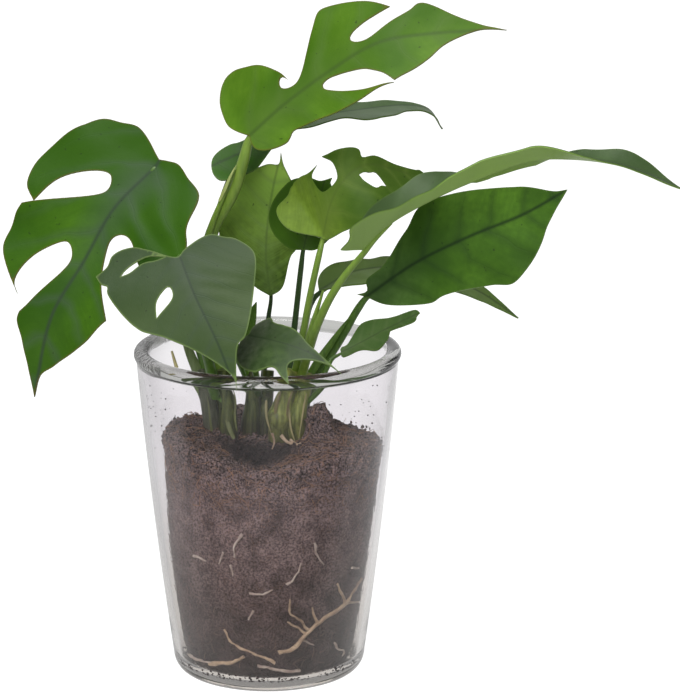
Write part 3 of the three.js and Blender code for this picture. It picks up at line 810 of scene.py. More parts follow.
# %% Bent rods
def rod(points, radii, sides=3):
    """A smooth rod through points in metres, with a radius in mm at each end or point."""
    deselect()
    bpy.ops.curve.primitive_bezier_curve_add()
    bent = bpy.context.object
    spline = bent.data.splines[0]
    spline.bezier_points.add(len(points) - 2)
    for i, (knot, point) in enumerate(zip(spline.bezier_points, points)):
        share = i / (len(points) - 1)
        knot.co = point
        knot.handle_left_type = knot.handle_right_type = "AUTO"
        if len(radii) == 2:
            knot.radius = radii[0] + (radii[1] - radii[0]) * share
        else:
            knot.radius = radii[i]
    bent.data.bevel_depth = MM
    bent.data.bevel_resolution = sides
    bent.data.resolution_u = 6
    bent.data.use_fill_caps = True
    bpy.ops.object.convert(target="MESH")
    made = bpy.context.object
    face_outwards(made)
    return made


# %% Roots of the solids
ROOTS = {
    # radius at the start and at the end, and places as azimuth and height
    "root_branching": [
        (1.0, 1.5, [(-83, 19), (-75, 20), (-67, 26), (-57, 32), (-43, 36), (-38, 37)]),
        (1.2, 0.6, [(-40, 36.5), (-38, 37), (-42, 43), (-47, 49)]),
        (1.2, 0.7, [(-40, 36.5), (-38, 37), (-30, 42), (-20, 46)]),
        (1.0, 0.6, [(-40, 36.5), (-36, 37), (-18, 34)]),
        (0.8, 0.5, [(-64, 29), (-71, 35), (-76, 38), (-77, 45)]),
        (0.8, 0.5, [(-65, 27), (-72, 31), (-78, 34)]),
        (0.8, 0.5, [(-58, 31), (-61, 35), (-63, 40)]),
    ],
    "root_low_left": [
        (0.6, 0.9, [(-117, 29), (-113, 24), (-107, 21), (-99, 19), (-90, 16), (-85, 14)]),
    ],
    "root_thick": [(1.5, 0.8, [(-132, 10), (-122, 12), (-111, 14), (-105, 17)])],
    "root_low_middle": [(0.8, 0.9, [(-96, 12.5), (-88, 11.5), (-77, 9.5), (-68, 9)])],
}
WOODY_SHARE = 0.8
WOODY_LIFT = 0.1
noise.seed_set(11)  # without a seed, vector noise differs from run to run


def gnarl(root, amount):
    """Two noises turn an even rod into a root: one bends it, one swells it."""
    for vertex in root.data.vertices:
        at = vertex.co / MM
        vertex.co += noise.noise_vector(at * 0.28) * amount * 0.9 * MM
        vertex.co += noise.noise_vector(at * 0.9 + Vector((7, 3, 5))) * amount * 0.35 * MM


for name, rods in ROOTS.items():
    made = [
        rod(
            [on_ball(*place, lift=WOODY_LIFT) for place in places],
            (WOODY_SHARE * start, WOODY_SHARE * end),
        )
        for start, end, places in rods
    ]
    root = join(made)
    gnarl(root, 0.7)
    smooth(root, 70)
    finish = pale_root if name == "root_low_middle" else tan_root
    finish_piece(root, name.replace("root_", "woody_root_"), "root", finish, name)

# %% [markdown]
# ## Short young roots
# The pale tips of many more roots press against the glass. They are only a few
# millimetres long, so they are thin rods half sunk in the peat.

# %% Young roots
YOUNG_ROOTS = [
    (0.7, [(-100, 48), (-93, 48), (-87, 50)]),
    (0.7, [(-79, 52), (-75, 55), (-71, 62)]),
    (0.7, [(-64, 71), (-62, 65), (-58, 60)]),
    (0.8, [(-103, 76), (-107, 71), (-108, 65)]),
    (0.6, [(-110, 61), (-109, 56)]),
    (0.6, [(-114, 67), (-117, 61)]),
    (0.7, [(-135, 62), (-130, 62), (-126, 61)]),
    (0.6, [(-98, 40), (-101, 35)]),
    (0.7, [(-37, 55), (-29, 53)]),
    (0.6, [(-67, 24), (-60, 21)]),
    (0.6, [(-44, 20), (-40, 16), (-32, 13), (-33, 11)]),
    (0.9, [(-159, 9), (-144, 10), (-129, 11)]),
]
YOUNG_LIFT = 0.5
young = [
    rod([on_ball(*place, lift=YOUNG_LIFT) for place in places], (0.85 * radius, 0.5 * radius))
    for radius, places in YOUNG_ROOTS
]
young_roots = join(young)
gnarl(young_roots, 0.6)
smooth(young_roots, 70)
finish_piece(young_roots, "young_roots", "root", pale_root)

# %% [markdown]
# ## Crumbs and fibres
# The top of the ball has crumbled, and more crumbs fell between the ball and the
# glass. A crumb is a small ball of twenty faces, pressed out of round. It is modelled
# once and copied hundreds of times, each copy turned and sized by a seeded draw.

# %% One crumb, many times
random.seed(11)


def scatter(places):
    """Crumbs at (place in mm, size in mm), as one piece."""
    deselect()
    bpy.ops.mesh.primitive_ico_sphere_add(subdivisions=1, radius=0.5 * MM)
    crumb = bpy.context.object
    for vertex in crumb.data.vertices:
        vertex.co *= 1 + 0.45 * noise.noise(vertex.co / MM * 3)
    heap = bmesh.new()
    for place, size in places:
        before = len(heap.verts)
        heap.from_mesh(crumb.data)
        heap.verts.ensure_lookup_table()
        axis = Vector([random.uniform(-1, 1) for _ in range(3)]).normalized()
        turn = Matrix.Rotation(random.uniform(0, math.tau), 4, axis)
        wide, high = random.uniform(0.6, 1), random.uniform(0.5, 0.9)
        squash = Matrix.Diagonal((size, size * wide, size * high, 1))
        change = Matrix.Translation(Vector(place) * MM) @ turn @ squash
        for vertex in heap.verts[before:]:
            vertex.co = change @ vertex.co
    heap.to_mesh(crumb.data)
    heap.free()
    smooth(crumb, 80)
    return crumb


# %% Crumbs on the ball and under it
TOP_REACH = 49
ABOVE_ALL = 300


def ball_top(x, y):
    """Height of the peat under a point, in mm."""
    start = Vector((x, y, ABOVE_ALL)) * MM
    hit, place, _, _ = root_ball.ray_cast(start, Vector((0, 0, -1)))
    return place.z / MM if hit else PEAT_SHOULDER


def top_crumb():
    angle = random.uniform(0, math.tau)
    reach = TOP_REACH * math.sqrt(random.random())
    x, y, _ = settled((reach * math.cos(angle), reach * math.sin(angle), PEAT_SHOULDER))
    return (x, y, ball_top(x, y)), random.uniform(1.0, 3.4)


def side_crumb():
    height = 9 + 97 * random.random() ** 0.8
    place = on_ball(random.uniform(0, 360), height, random.uniform(-0.3, 0.1)) / MM
    return tuple(place), random.uniform(0.6, 1.4)


CORNER_START = wall_radius(GLASS_CORNER) - GLASS_WALL - INNER_CORNER
FALLEN_REACH = (35.6, 40.2)
FALLEN_LIFT = 0.4


def fallen_crumb():
    angle = random.uniform(0, math.tau)
    reach = random.uniform(*FALLEN_REACH)
    below = math.sqrt(INNER_CORNER ** 2 - (reach - CORNER_START) ** 2)
    up = GLASS_BASE_THICKNESS + INNER_CORNER - below + FALLEN_LIFT
    return (reach * math.cos(angle), reach * math.sin(angle), up), random.uniform(0.5, 1.9)


def edge_crumb():
    angle = random.uniform(0, 360)
    place = on_ball(angle, random.uniform(101, 108), random.uniform(-1.5, 0.4)) / MM
    return tuple(place), random.uniform(1.2, 3.0)


CRUMB_COUNTS = [(top_crumb, 620), (side_crumb, 800), (fallen_crumb, 1000), (edge_crumb, 220)]
crumbs = scatter([draw() for draw, count in CRUMB_COUNTS for _ in range(count)])
finish_piece(crumbs, "peat_crumbs", "peat", peat)

# %% Dust inside the glass, most of it at the front right and at the left
dust_finish = peat_finish("dust", rgb(20, 15, 15), rgb(48, 38, 36), rgb(70, 52, 44))
DUST_COUNT = 110
DUST_GAP = 0.12


def speck():
    angles = [random.gauss(-35, 16), random.gauss(-150, 22), random.uniform(0, 360)]
    angle = math.radians(random.choice(angles))
    height = random.uniform(108, 141)
    radius = wall_radius(height) - GLASS_WALL - DUST_GAP
    return (radius * math.cos(angle), radius * math.sin(angle), height), random.uniform(0.3, 1.0)


dust = scatter([speck() for _ in range(DUST_COUNT)])
finish_piece(dust, "dust_on_glass", "peat", dust_finish)

# %% [markdown]
# Fibres are fine threads that wander over the peat. All of one colour are splines of
# one curve with a thin bevel, turned into a mesh together.

# %% Walks of the fibres
STRIDE = 2.2


def side_walk(low, high, length):
    """A thread that wanders over the side of the ball: angle and height, step by step."""
    angle, height = random.uniform(0, 360), random.uniform(low, high)
    heading = random.uniform(0, math.tau)
    path = []
    for _ in range(max(3, round(length / STRIDE))):
        path.append(on_ball(angle, height, random.uniform(0.1, 0.7)))
        heading += random.gauss(0, 0.55)
        angle += math.degrees(STRIDE * math.cos(heading) / ball_radius(height))
        height = min(max(height + STRIDE * math.sin(heading), low), high)
    return path


def top_walk(length):
    """A thread that wanders over the top and stays out of the shaded hollow in front of the stems.
    """
    angle = random.uniform(0, math.tau)
    reach = (TOP_REACH + 1) * math.sqrt(random.random())
    x, y = reach * math.cos(angle), reach * math.sin(angle)
    heading = random.uniform(0, math.tau)
    path = []
    for _ in range(max(3, round(length / STRIDE))):
        deep = math.dist((x / HOLLOW_REACH[0], y / HOLLOW_REACH[1]), HOLLOW_CENTRE) < 1
        if math.hypot(x, y) < TOP_REACH and not deep:
            at_x, at_y, _ = settled((x, y, PEAT_SHOULDER))
            up = ball_top(at_x, at_y) + random.uniform(0.3, 1.6)
            path.append(Vector((at_x, at_y, up)) * MM)
        heading += random.gauss(0, 0.6)
        x += STRIDE * math.cos(heading)
        y += STRIDE * math.sin(heading)
    return path


# %% Fibres
THREAD_RADIUS = 0.12


def threads(paths):
    """All of one colour, as one piece. Walks of under three steps are left out."""
    deselect()
    bpy.ops.curve.primitive_bezier_curve_add()
    bunch = bpy.context.object
    bunch.data.splines.clear()
    for path in paths:
        if len(path) < 3:
            continue
        spline = bunch.data.splines.new("POLY")
        spline.points.add(len(path) - 1)
        thin = random.uniform(0.6, 1.3)
        for point, place in zip(spline.points, path):
            point.co = (*place, 1)
            point.radius = thin
    bunch.data.bevel_depth = THREAD_RADIUS * MM
    bunch.data.bevel_resolution = 1
    bunch.data.use_fill_caps = True
    bpy.ops.object.convert(target="MESH")
    made = bpy.context.object
    face_outwards(made)
    smooth(made, 80)
    return made


rusty = threads(
    [side_walk(86, 108, random.uniform(5, 18)) for _ in range(190)]
    + [top_walk(random.uniform(6, 20)) for _ in range(170)]
)
finish_piece(rusty, "rusty_fibres", "root", fibre_root)
brown_fibre = root_finish("brown fibre", rgb(104, 78, 66), rgb(66, 48, 42))
brown = threads(
    [side_walk(8, 106, random.uniform(3, 10)) for _ in range(700)]
    + [top_walk(random.uniform(5, 14)) for _ in range(160)]
)
finish_piece(brown, "brown_fibres", "root", brown_fibre)

# %% [markdown]
# ## Stems
# Three short stems carry the leaves. A stem is a bundle of old leaf bases that clasp
# each other, so each is built from two or three rods side by side, swollen where a
# base was joined, and browner where it comes out of the peat.


# %% Stem finish
def stem_finish(name, light, deep, foot):
    made = Finish(name, Roughness=0.42)
    lines = made.noise(620, 4, made.mapped((1.0, 1.0, 0.07)))
    blotch = made.noise(160, 4)
    colour = made.blend(made.stretch(lines, 0.38, 0.62), light, deep)
    colour = made.blend(made.stretch(blotch, 0.52, 0.7, 0, 0.6), colour, foot)
    low = made.stretch(made.on_axis("Z"), 0.105, 0.122, 0.85, 0.0)
    colour = made.blend(low, colour, foot)
    return made.out(Base_Color=colour, Normal=made.bump(lines, 0.5, 0.4 * MM))


stem_pale = stem_finish("pale stem", rgb(150, 158, 78), rgb(84, 96, 36), rgb(60, 50, 32))
stem_green = stem_finish("green stem", rgb(86, 96, 44), rgb(40, 50, 16), rgb(50, 42, 30))
stem_grey = stem_finish("grey stem", rgb(92, 96, 78), rgb(60, 66, 46), rgb(52, 46, 40))

# %% Stems
STEMS = {
    # finish, radii, path of each leaf base
    "stem_left": [
        (stem_grey, [4.2, 4.0, 3.6, 3.2],
         [(-24, -3, 101), (-25, -4, 114), (-27, -3, 127), (-30, -2, 140)]),
        (stem_green, [4.2, 4.7, 3.8, 3.0],
         [(-18, -4, 101), (-18, -5, 112), (-18, -5, 125), (-20, -4, 140)]),
        (stem_green, [4.0, 3.8, 3.2, 2.6],
         [(-21, 3, 101), (-21, 3, 114), (-22, 3, 127), (-24, 4, 139)]),
    ],
    "stem_middle": [
        (stem_green, [4.2, 4.5, 3.4, 2.6],
         [(-8, 5, 101), (-8, 4, 112), (-7, 4, 124), (-7, 6, 137)]),
        (stem_green, [4.2, 4.0, 3.2, 2.6],
         [(-2, 8, 101), (-2, 7, 113), (-1, 8, 124), (0, 10, 136)]),
    ],
    "stem_right": [
        (stem_pale, [5.0, 4.8, 5.6, 4.7, 4.3, 3.6],
         [(5, -4, 101), (5, -5, 114), (5, -6, 119), (6, -6, 122), (8, -6, 130), (11, -5, 140)]),
        (stem_pale, [4.4, 4.3, 4.8, 3.9, 3.2],
         [(13, -3, 101), (13, -5, 115), (13, -5, 119), (14, -5, 123), (17, -4, 139)]),
        (stem_green, [4.4, 3.8, 3.0], [(14, 2, 101), (15, 1, 120), (18, 1, 138)]),
    ],
}


def rod_in_mm(path, radii, sides=3):
    return rod([Vector(point) * MM for point in path], radii, sides)


for name, bases in STEMS.items():
    made = []
    for finish, radii, path in bases:
        base = rod_in_mm(path, radii, sides=8)
        smooth(base, 70)
        base.data.materials.append(finish)
        made.append(base)
    stem = join(made)
    declare(stem, name.replace("stem_", "short_stem_"), "stem", name)

# %% [markdown]
# ## How a leaf is made
# A monstera leaf is a flat outline, with slits that open at its edge and holes along
# its midrib, bent over a curved midrib. It is made like a biscuit. A thin sheet with
# a fine net of faces is rolled out flat, the outline is cut from it with a Boolean,
# and the cut sheet is then bent: each point is moved to where its distance along the
# midrib, its distance out from it and its height above the sheet put it.

# %% Measures that all leaves share
BLADE_THICKNESS = 0.7
RIB_SOFTNESS = 3
WAVE_HEIGHT = 0.8
WAVE_LENGTH = 34
NET_STEP = 1.7
EDGE_STEP = 1.3
VEIN_DEPTH = 0.9
LONG_LEAF = 120
MERGE_IN_SHEET = 0.0005


# %% A smooth line through points
def smooth_line(points, step):
    """Centripetal Catmull-Rom through points of two or three values, evenly stepped."""
    knots = [np.array(p, float) for p in points]
    knots = [2 * knots[0] - knots[1], *knots, 2 * knots[-1] - knots[-2]]
    line = []
    for before, start, end, after in zip(knots, knots[1:], knots[2:], knots[3:]):
        d0, d1, d2 = (
            max(np.sqrt(np.linalg.norm(b - a)), 1e-3)
            for a, b in ((before, start), (start, end), (end, after))
        )
        leave = (start - before) / d0 - (end - before) / (d0 + d1) + (end - start) / d1
        arrive = (end - start) / d1 - (after - start) / (d1 + d2) + (after - end) / d2
        leave, arrive = leave * d1, arrive * d1
        for t in np.arange(0, 1, 1 / 16):
            line.append(
                start + leave * t + (3 * (end - start) - 2 * leave - arrive) * t * t
                + (2 * (start - end) + leave + arrive) * t ** 3
            )
    line.append(knots[-2])
    line = np.array(line)
    gone = np.concatenate([[0], np.cumsum(np.linalg.norm(np.diff(line, axis=0), axis=1))])
    count = max(1, math.ceil(gone[-1] / step))
    even = np.linspace(0, gone[-1], count + 1)
    return np.stack([np.interp(even, gone, line[:, k]) for k in range(line.shape[1])], 1)


def outline_points(outline):
    """Points round a closed outline, smooth between its sharp corners."""
    corners = [i for i, point in enumerate(outline) if len(point) == 3] or [0]
    loop = []
    for order, start in enumerate(corners):
        end = corners[(order + 1) % len(corners)]
        end += 0 if order + 1 < len(corners) else len(outline)
        run = [outline[i % len(outline)][:2] for i in range(start, end + 1)]
        loop.extend(smooth_line(run, EDGE_STEP)[:-1])
    return np.array(loop)


# %% Rolling out and cutting
def rolled_sheet(low, high):
    """A thin sheet with a fine net, which is closer along the midrib, in mm."""
    half = max(-low[1], high[1]) + 2 * NET_STEP
    rows = 2 * math.ceil(half / NET_STEP)
    columns = math.ceil((high[0] - low[0]) / NET_STEP) + 4
    deselect()
    bpy.ops.mesh.primitive_grid_add(x_subdivisions=columns, y_subdivisions=rows, size=1)
    sheet = bpy.context.object
    middle = (low[0] + high[0]) / 2
    for vertex in sheet.data.vertices:
        out = vertex.co.y * rows * NET_STEP
        vertex.co.x = middle + vertex.co.x * columns * NET_STEP + 0.013
        vertex.co.y = out * (1 - 0.45 * math.exp(-((out / 7) ** 2)))
        vertex.co.z = -BLADE_THICKNESS / 2
    select_only(sheet)
    bpy.ops.object.mode_set(mode="EDIT")
    bpy.ops.mesh.select_all(action="SELECT")
    bpy.ops.mesh.extrude_region_move(
        TRANSFORM_OT_translate={"value": (0, 0, BLADE_THICKNESS)}
    )
    bpy.ops.object.mode_set(mode="OBJECT")
    face_outwards(sheet, MERGE_IN_SHEET)
    return sheet


def cutter(loops):
    """The outline and its holes as a filled curve, raised to a block, in mm."""
    deselect()
    bpy.ops.curve.primitive_bezier_circle_add()
    drawn = bpy.context.object
    drawn.data.dimensions = "2D"
    drawn.data.fill_mode = "BOTH"
    drawn.data.splines.clear()
    for loop in loops:
        spline = drawn.data.splines.new("POLY")
        spline.points.add(len(loop) - 1)
        for point, (along, out) in zip(spline.points, loop):
            point.co = (along, out, 0, 1)
        spline.use_cyclic_u = True
    drawn.data.extrude = 2 * BLADE_THICKNESS
    bpy.ops.object.convert(target="MESH")
    block = bpy.context.object
    face_outwards(block, MERGE_IN_SHEET)
    return block


def cut_leaf(loops):
    """The flat leaf: what the sheet and the block have in common."""
    every = np.concatenate(loops)
    sheet = rolled_sheet(every.min(0), every.max(0))
    block = cutter(loops)
    cut = sheet.modifiers.new("cut", "BOOLEAN")
    cut.operation = "INTERSECT"
    cut.solver = "EXACT"
    cut.object = block
    apply_modifiers(sheet)
    bpy.data.objects.remove(block)
    return sheet


# %% Bending
TANGENT_REACH = 0.004


def blend_rows(values, share):
    """Where a list of values stands at each share of the way from first to last."""
    values = np.array(values, float)
    if values.ndim == 1:
        values = values[:, None]
    places = np.linspace(0, 1, len(values))
    return np.stack([np.interp(share, places, values[:, k]) for k in range(values.shape[1])], -1)


def unit(rows):
    return rows / np.linalg.norm(rows, axis=-1, keepdims=True)


class Blade:
    """The surface that a flat leaf is bent over, in mm."""

    def __init__(self, rib, faces, folds, cup, straight=0.5, **others):
        self.line = smooth_line(rib, 0.25)
        steps = np.linalg.norm(np.diff(self.line, axis=0), axis=1)
        self.gone = np.concatenate([[0], np.cumsum(steps)])
        self.length = self.gone[-1]
        self.chord = unit(self.line[-1] - self.line[0])
        self.faces = faces if len(faces) > 1 else faces * 2
        self.folds = folds if len(folds) > 1 else folds * 2
        self.cup = cup
        self.straight = straight

    def rib_at(self, share):
        gone = share * self.length
        return np.stack([np.interp(gone, self.gone, self.line[:, k]) for k in range(3)], -1)

    def sunk(self, along, out):
        """How deep the blade lies at and between its side veins."""
        u, v = along / self.length, np.abs(out) / self.length
        side = np.sign(out)
        row = u - VEIN_LEAN * v - VEIN_BEND * v * v
        phase = row * VEINS + 0.5 + 0.3 * np.sin(11 * u + 3 * side)
        slow = 0.6 + 0.4 * np.sin(5 * u + 9 * v + side)
        share = np.clip(v / 0.08, 0, 1) * slow * (self.length / LONG_LEAF) ** 1.5
        return VEIN_DEPTH * share * (0.5 + 0.5 * np.cos(math.tau * phase))

    def bend(self, along, out, height):
        """Where points of the flat leaf come to lie on the bent one."""
        share = np.clip(along / self.length, 0, 1)
        before = self.rib_at(np.maximum(share - TANGENT_REACH, 0))
        tangent = self.rib_at(np.minimum(share + TANGENT_REACH, 1)) - before
        ahead = unit(unit(tangent) * (1 - self.straight) + self.chord * self.straight)
        face = blend_rows(self.faces, share)
        face = unit(face - ahead * np.sum(face * ahead, -1, keepdims=True))
        side = np.cross(ahead, face)
        fold = np.radians(blend_rows(self.folds, share))[:, 0]
        rise = np.hypot(out, RIB_SOFTNESS) - RIB_SOFTNESS
        wave = WAVE_HEIGHT * (out / 30) ** 2 * np.sin(math.tau * along / WAVE_LENGTH + np.sign(out))
        lift = rise * np.sin(fold) - self.cup * out * out + wave + height - self.sunk(along, out)
        return (
            self.rib_at(share)
            + ahead * (along - share * self.length)[:, None]
            + side * (out * np.cos(fold))[:, None]
            + face * lift[:, None]
        )


# %% Relief of the blade
RIB_CHANNEL = 0.35
RIB_RIDGE = 0.9
RIB_WIDTH = 1.3


def relief(blade, along, out, height):
    """The midrib is a shallow channel above and a ridge below; it thins to the tip."""
    share = np.clip(along / blade.length, 0, 1)
    thin = np.clip(1.05 - share, 0, 1) ** 0.7
    near = np.exp(-((out / (RIB_WIDTH * (0.5 + thin))) ** 2)) * (along > -2)
    above = height - RIB_CHANNEL * thin * near
    below = height - RIB_RIDGE * thin * near
    return np.where(height > 0, above, below)


# %% A finished blade
def from_edge(points, loops):
    """Distance in mm from each point to the nearest piece of outline."""
    best = np.full(len(points), 1e9)
    for loop in loops:
        ends = np.roll(loop, -1, axis=0)
        for a, b in zip(loop, ends):
            span = b - a
            t = np.clip((points - a) @ span / max(span @ span, 1e-9), 0, 1)
            gap = np.linalg.norm(points - a - t[:, None] * span, axis=1)
            best = np.minimum(best, gap)
    return best


def bent_blade(shape):
    loops = [outline_points(loop) for loop in [shape["edge"], *shape.get("holes", [])]]
    piece = cut_leaf(loops)
    mesh = piece.data
    flat = np.zeros(len(mesh.vertices) * 3)
    mesh.vertices.foreach_get("co", flat)
    flat = flat.reshape(-1, 3)
    blade = Blade(**shape)

    leaf_map = mesh.uv_layers.new(name="leaf")
    corner_vertex = np.zeros(len(mesh.loops), int)
    mesh.loops.foreach_get("vertex_index", corner_vertex)
    leaf_map.data.foreach_set("uv", (flat[corner_vertex, :2] / blade.length).ravel())
    margin = mesh.attributes.new("margin", "FLOAT", "POINT")
    margin.data.foreach_set("value", from_edge(flat[:, :2], loops))
    upper = mesh.attributes.new("upper", "FLOAT", "POINT")
    upper.data.foreach_set("value", (flat[:, 2] > 0).astype(float))

    height = relief(blade, flat[:, 0], flat[:, 1], flat[:, 2])
    bent = blade.bend(flat[:, 0], flat[:, 1], height) * MM
    mesh.vertices.foreach_set("co", bent.ravel())
    mesh.update()
    return piece, blade


# %% [markdown]
# ## The shapes of the leaves
# rib is the midrib from the joint to the tip. faces says where the upper side looks
# along it, and folds how many degrees each half is raised. cup curls the sides down,
# and straight is the share of the chord in the blade's direction. edge is the outline
# as (along the midrib, out from it), with a 1 at sharp corners, and holes are drawn
# in the same way. A stalk is a radius and a path from the stem to the joint.

# %% Leaf shapes
GROWN = {}

GROWN["leaf_left"] = dict(
    rib=[(-49, -2, 232), (-67, -12, 215), (-80, -20, 193), (-94, -27, 170), (-102, -34, 134)],
    faces=[(-0.3, -0.8, 0.55)],
    folds=[6], cup=0.0016,
    edge=[
        (-3.5, 0.5, 1), (-11, 18), (-9, 27), (-5, 37), (22, 47), (34, 43), (39, 36, 1), (26, 31),
        (15, 17), (15, 12), (22, 9), (42, 41, 1), (48, 42), (65, 38), (79, 20, 1), (75, 24),
        (60, 22), (49, 12), (55, 6), (80, 13), (85, 16, 1), (88, 16), (96, 11), (118, 0, 1),
        (108, -1), (102, -7), (86, -21), (72, -26, 1), (56, -12), (41, -7), (36, -10), (36, -15),
        (45, -26), (49, -34, 1), (43, -41), (26, -41), (18, -36), (1, -27), (-3, -17), (-6, -9),
        (-5, -4),
    ],
    stalk_radius=2.6,
    stalk=[(-26, -3, 135), (-32, 0, 156), (-38, 5, 181), (-45, 8, 205), (-49, 4, 223)],
)

GROWN["leaf_front_left"] = dict(
    rib=[(-37, -40, 200), (-30, -52, 185), (-20, -64, 167), (-12, -72, 148)],
    faces=[(-0.1, -0.72, 0.7)],
    folds=[-3], cup=0.0016,
    edge=[
        (0, 0, 1), (-2, -3), (-5, -16), (-2, -21), (1, -26), (11, -31), (46, -12), (48, -8),
        (67, 0, 1), (61, -1), (33, 19), (24, 28), (4, 35), (1, 34), (-1, 36), (-6, 37, 1),
        (-8, 31), (-12, 27), (-12, 18), (0, 2),
    ],
    holes=[
        [(-2, 6, 1), (-5, 14), (-3, 24), (-1, 27, 1), (-1, 23), (-3, 16), (-2, 11)],
        [(12, 9), (17, 9), (23, 19, 1), (16, 16)],
    ],
    stalk_radius=2.4,
    stalk=[(-23, -6, 129), (-28, -22, 158), (-35, -34, 187)],
)

GROWN["leaf_top"] = dict(
    rib=[
        (-8, -6, 246), (8, -10, 261), (29, -13, 277), (49, -15, 289), (71, -16, 293),
        (104, -18, 295),
    ],
    faces=[(-0.15, -0.8, 0.6)],
    folds=[6], cup=0.0016,
    edge=[
        (0.7, -0.2, 1), (-3.3, -4.6), (-6.2, -9.5), (-6.4, -16), (-4.8, -23), (0.4, -30),
        (6.3, -30), (12.6, -27.6), (17.5, -25), (22.2, -20.4), (26.7, -14), (28.8, -8.4, 1),
        (27.5, -10.6), (26.3, -11.9), (25, -11.6), (24.1, -10), (24.3, -7.6), (26.5, -5.5),
        (30.4, -4.7), (33.6, -6), (41.5, -14.3), (47.2, -21), (52.8, -27), (55, -27.7),
        (62.1, -26.2), (72.1, -21.4), (81, -15.6, 1), (74.8, -13.4), (67.8, -11.4),
        (63.1, -9.6), (61.5, -7.9), (62.3, -6), (65.4, -4.3), (69.7, -4.2), (80.9, -9.2),
        (88.9, -12.7), (92.5, -15.2), (95.2, -15.3), (99.7, -13.2), (106.3, -8.6),
        (118.6, -2.8), (124, -1.3), (128.5, 0.1, 1), (123.3, -0.6), (117.4, -0.6), (112.2, 0.8),
        (99.7, 6.8), (92.9, 12.4), (85.4, 16.7), (75, 20.8, 1), (70.6, 15.4), (66.6, 12),
        (62.6, 8.9), (57.3, 6.5), (50.2, 3.9), (45.6, 2.9), (42.4, 3.8), (42.3, 6), (45.2, 9),
        (52.4, 14), (61, 18.4), (74.5, 21.9, 1), (64.5, 21), (54.7, 20.9), (45, 20.2),
        (36.4, 18.2), (28.6, 15.8), (21.2, 13.9), (19.2, 15.4), (17, 16.5), (12.7, 15.6),
        (5.1, 11.7), (1.1, 7.4), (0.4, 2.8),
    ],
    stalk_radius=3.4,
    stalk=[
        (-20, 1, 131), (-24, 8, 150), (-29, 7, 175), (-24.6, 3, 201), (-14, -1, 222),
        (-9.8, -4, 236),
    ],
    sheath=(2.0, 0.5),
    sheath_path=[(-29, 1, 190), (-24.6, -1, 205), (-19, -2.5, 219), (-14, -4.5, 231)],
)

GROWN["leaf_top_behind"] = dict(
    rib=[
        (-11, 16, 235), (0, 20, 244), (19, 26, 249), (41, 34, 251), (62, 40, 252), (73, 45, 249),
        (79, 48, 240),
    ],
    faces=[
        (-0.55, -0.7, 0.5), (-0.3, -0.45, 0.8), (0, -0.2, 0.98), (0.1, -0.12, 0.98),
        (0.3, -0.15, 0.95), (0.6, -0.15, 0.8),
    ],
    folds=[5, 10, 10, 10, 5], cup=0.001,
    edge=[
        (-17, 4), (-16, 10), (-10, 12), (12, 12), (25, 8), (36, 12), (48, 10), (56, 19), (66, 20),
        (82, 7), (97, 5), (105, 0, 1), (90, -2), (68, -7), (52, -10), (6, -4), (-3, -7), (-13, -4),
    ],
    stalk_radius=2.4,
    stalk=[
        (-5, 9, 124), (-16, 16, 147), (-24, 20, 167), (-26, 20, 190), (-20, 18, 213),
        (-14, 17, 228),
    ],
)

GROWN["leaf_back"] = dict(
    rib=[(1, 20, 168), (-1, 22, 187), (1, 20, 210), (6, 14, 235)],
    faces=[(-0.15, -0.95, 0.2)],
    folds=[8], cup=0.002,
    edge=[
        (0, 0, 1), (5, -7), (11, -10), (24, -21), (47, -20), (62, -5), (63, 0), (69, 0, 1),
        (64, 2), (43, 16), (23, 14), (20, 12), (4, 6),
    ],
    stalk_radius=1.4,
    stalk=[(-3, 10, 126), (-1, 16, 144), (0, 20, 158)],
)

GROWN["leaf_round"] = dict(
    rib=[(16, 8, 192), (19, 11, 204), (23, 13, 214), (26, 14, 224)],
    faces=[(0.05, -0.93, 0.35)],
    folds=[6], cup=0.003,
    edge=[
        (0, 0, 1), (-1, -6), (4, -15), (12, -19), (28, -15), (32, -7), (32, -2), (35, 3, 1),
        (32, 3), (29, 8), (18, 14), (2, 6),
    ],
    stalk_radius=1.6,
    stalk=[(9, 0, 130), (11, 7, 148), (13, 9, 166), (15, 9, 184)],
)

GROWN["leaf_young"] = dict(
    rib=[
        (25, -14, 203), (28, -16, 217), (33, -15, 227), (43, -10, 234), (59, -3, 230),
        (80, 4, 220),
    ],
    faces=[(-0.1, -0.85, 0.5)],
    folds=[5], cup=0.003, straight=0.85,
    edge=[
        (-1, 0, 1), (-12, -11), (-12, -21), (-4, -25), (0, -28), (15, -18), (20, -16, 1),
        (14, -16), (15, -7), (25, -3), (27, -10), (24, -16, 1), (40, -8), (40, -4), (47, -5),
        (56, -3), (67, -4), (69, -5), (79, 1, 1), (66, 9), (44, 20), (29, 22), (11, 11), (0, 2),
    ],
    holes=[[(35, 3, 1), (38, 3), (40, 4), (43, 4), (46, 11, 1), (43, 11), (40, 12), (36, 7)]],
    stalk_radius=1.8,
    stalk=[(11, -2, 133), (15, -9, 152), (19, -14, 175), (23, -16, 194)],
)

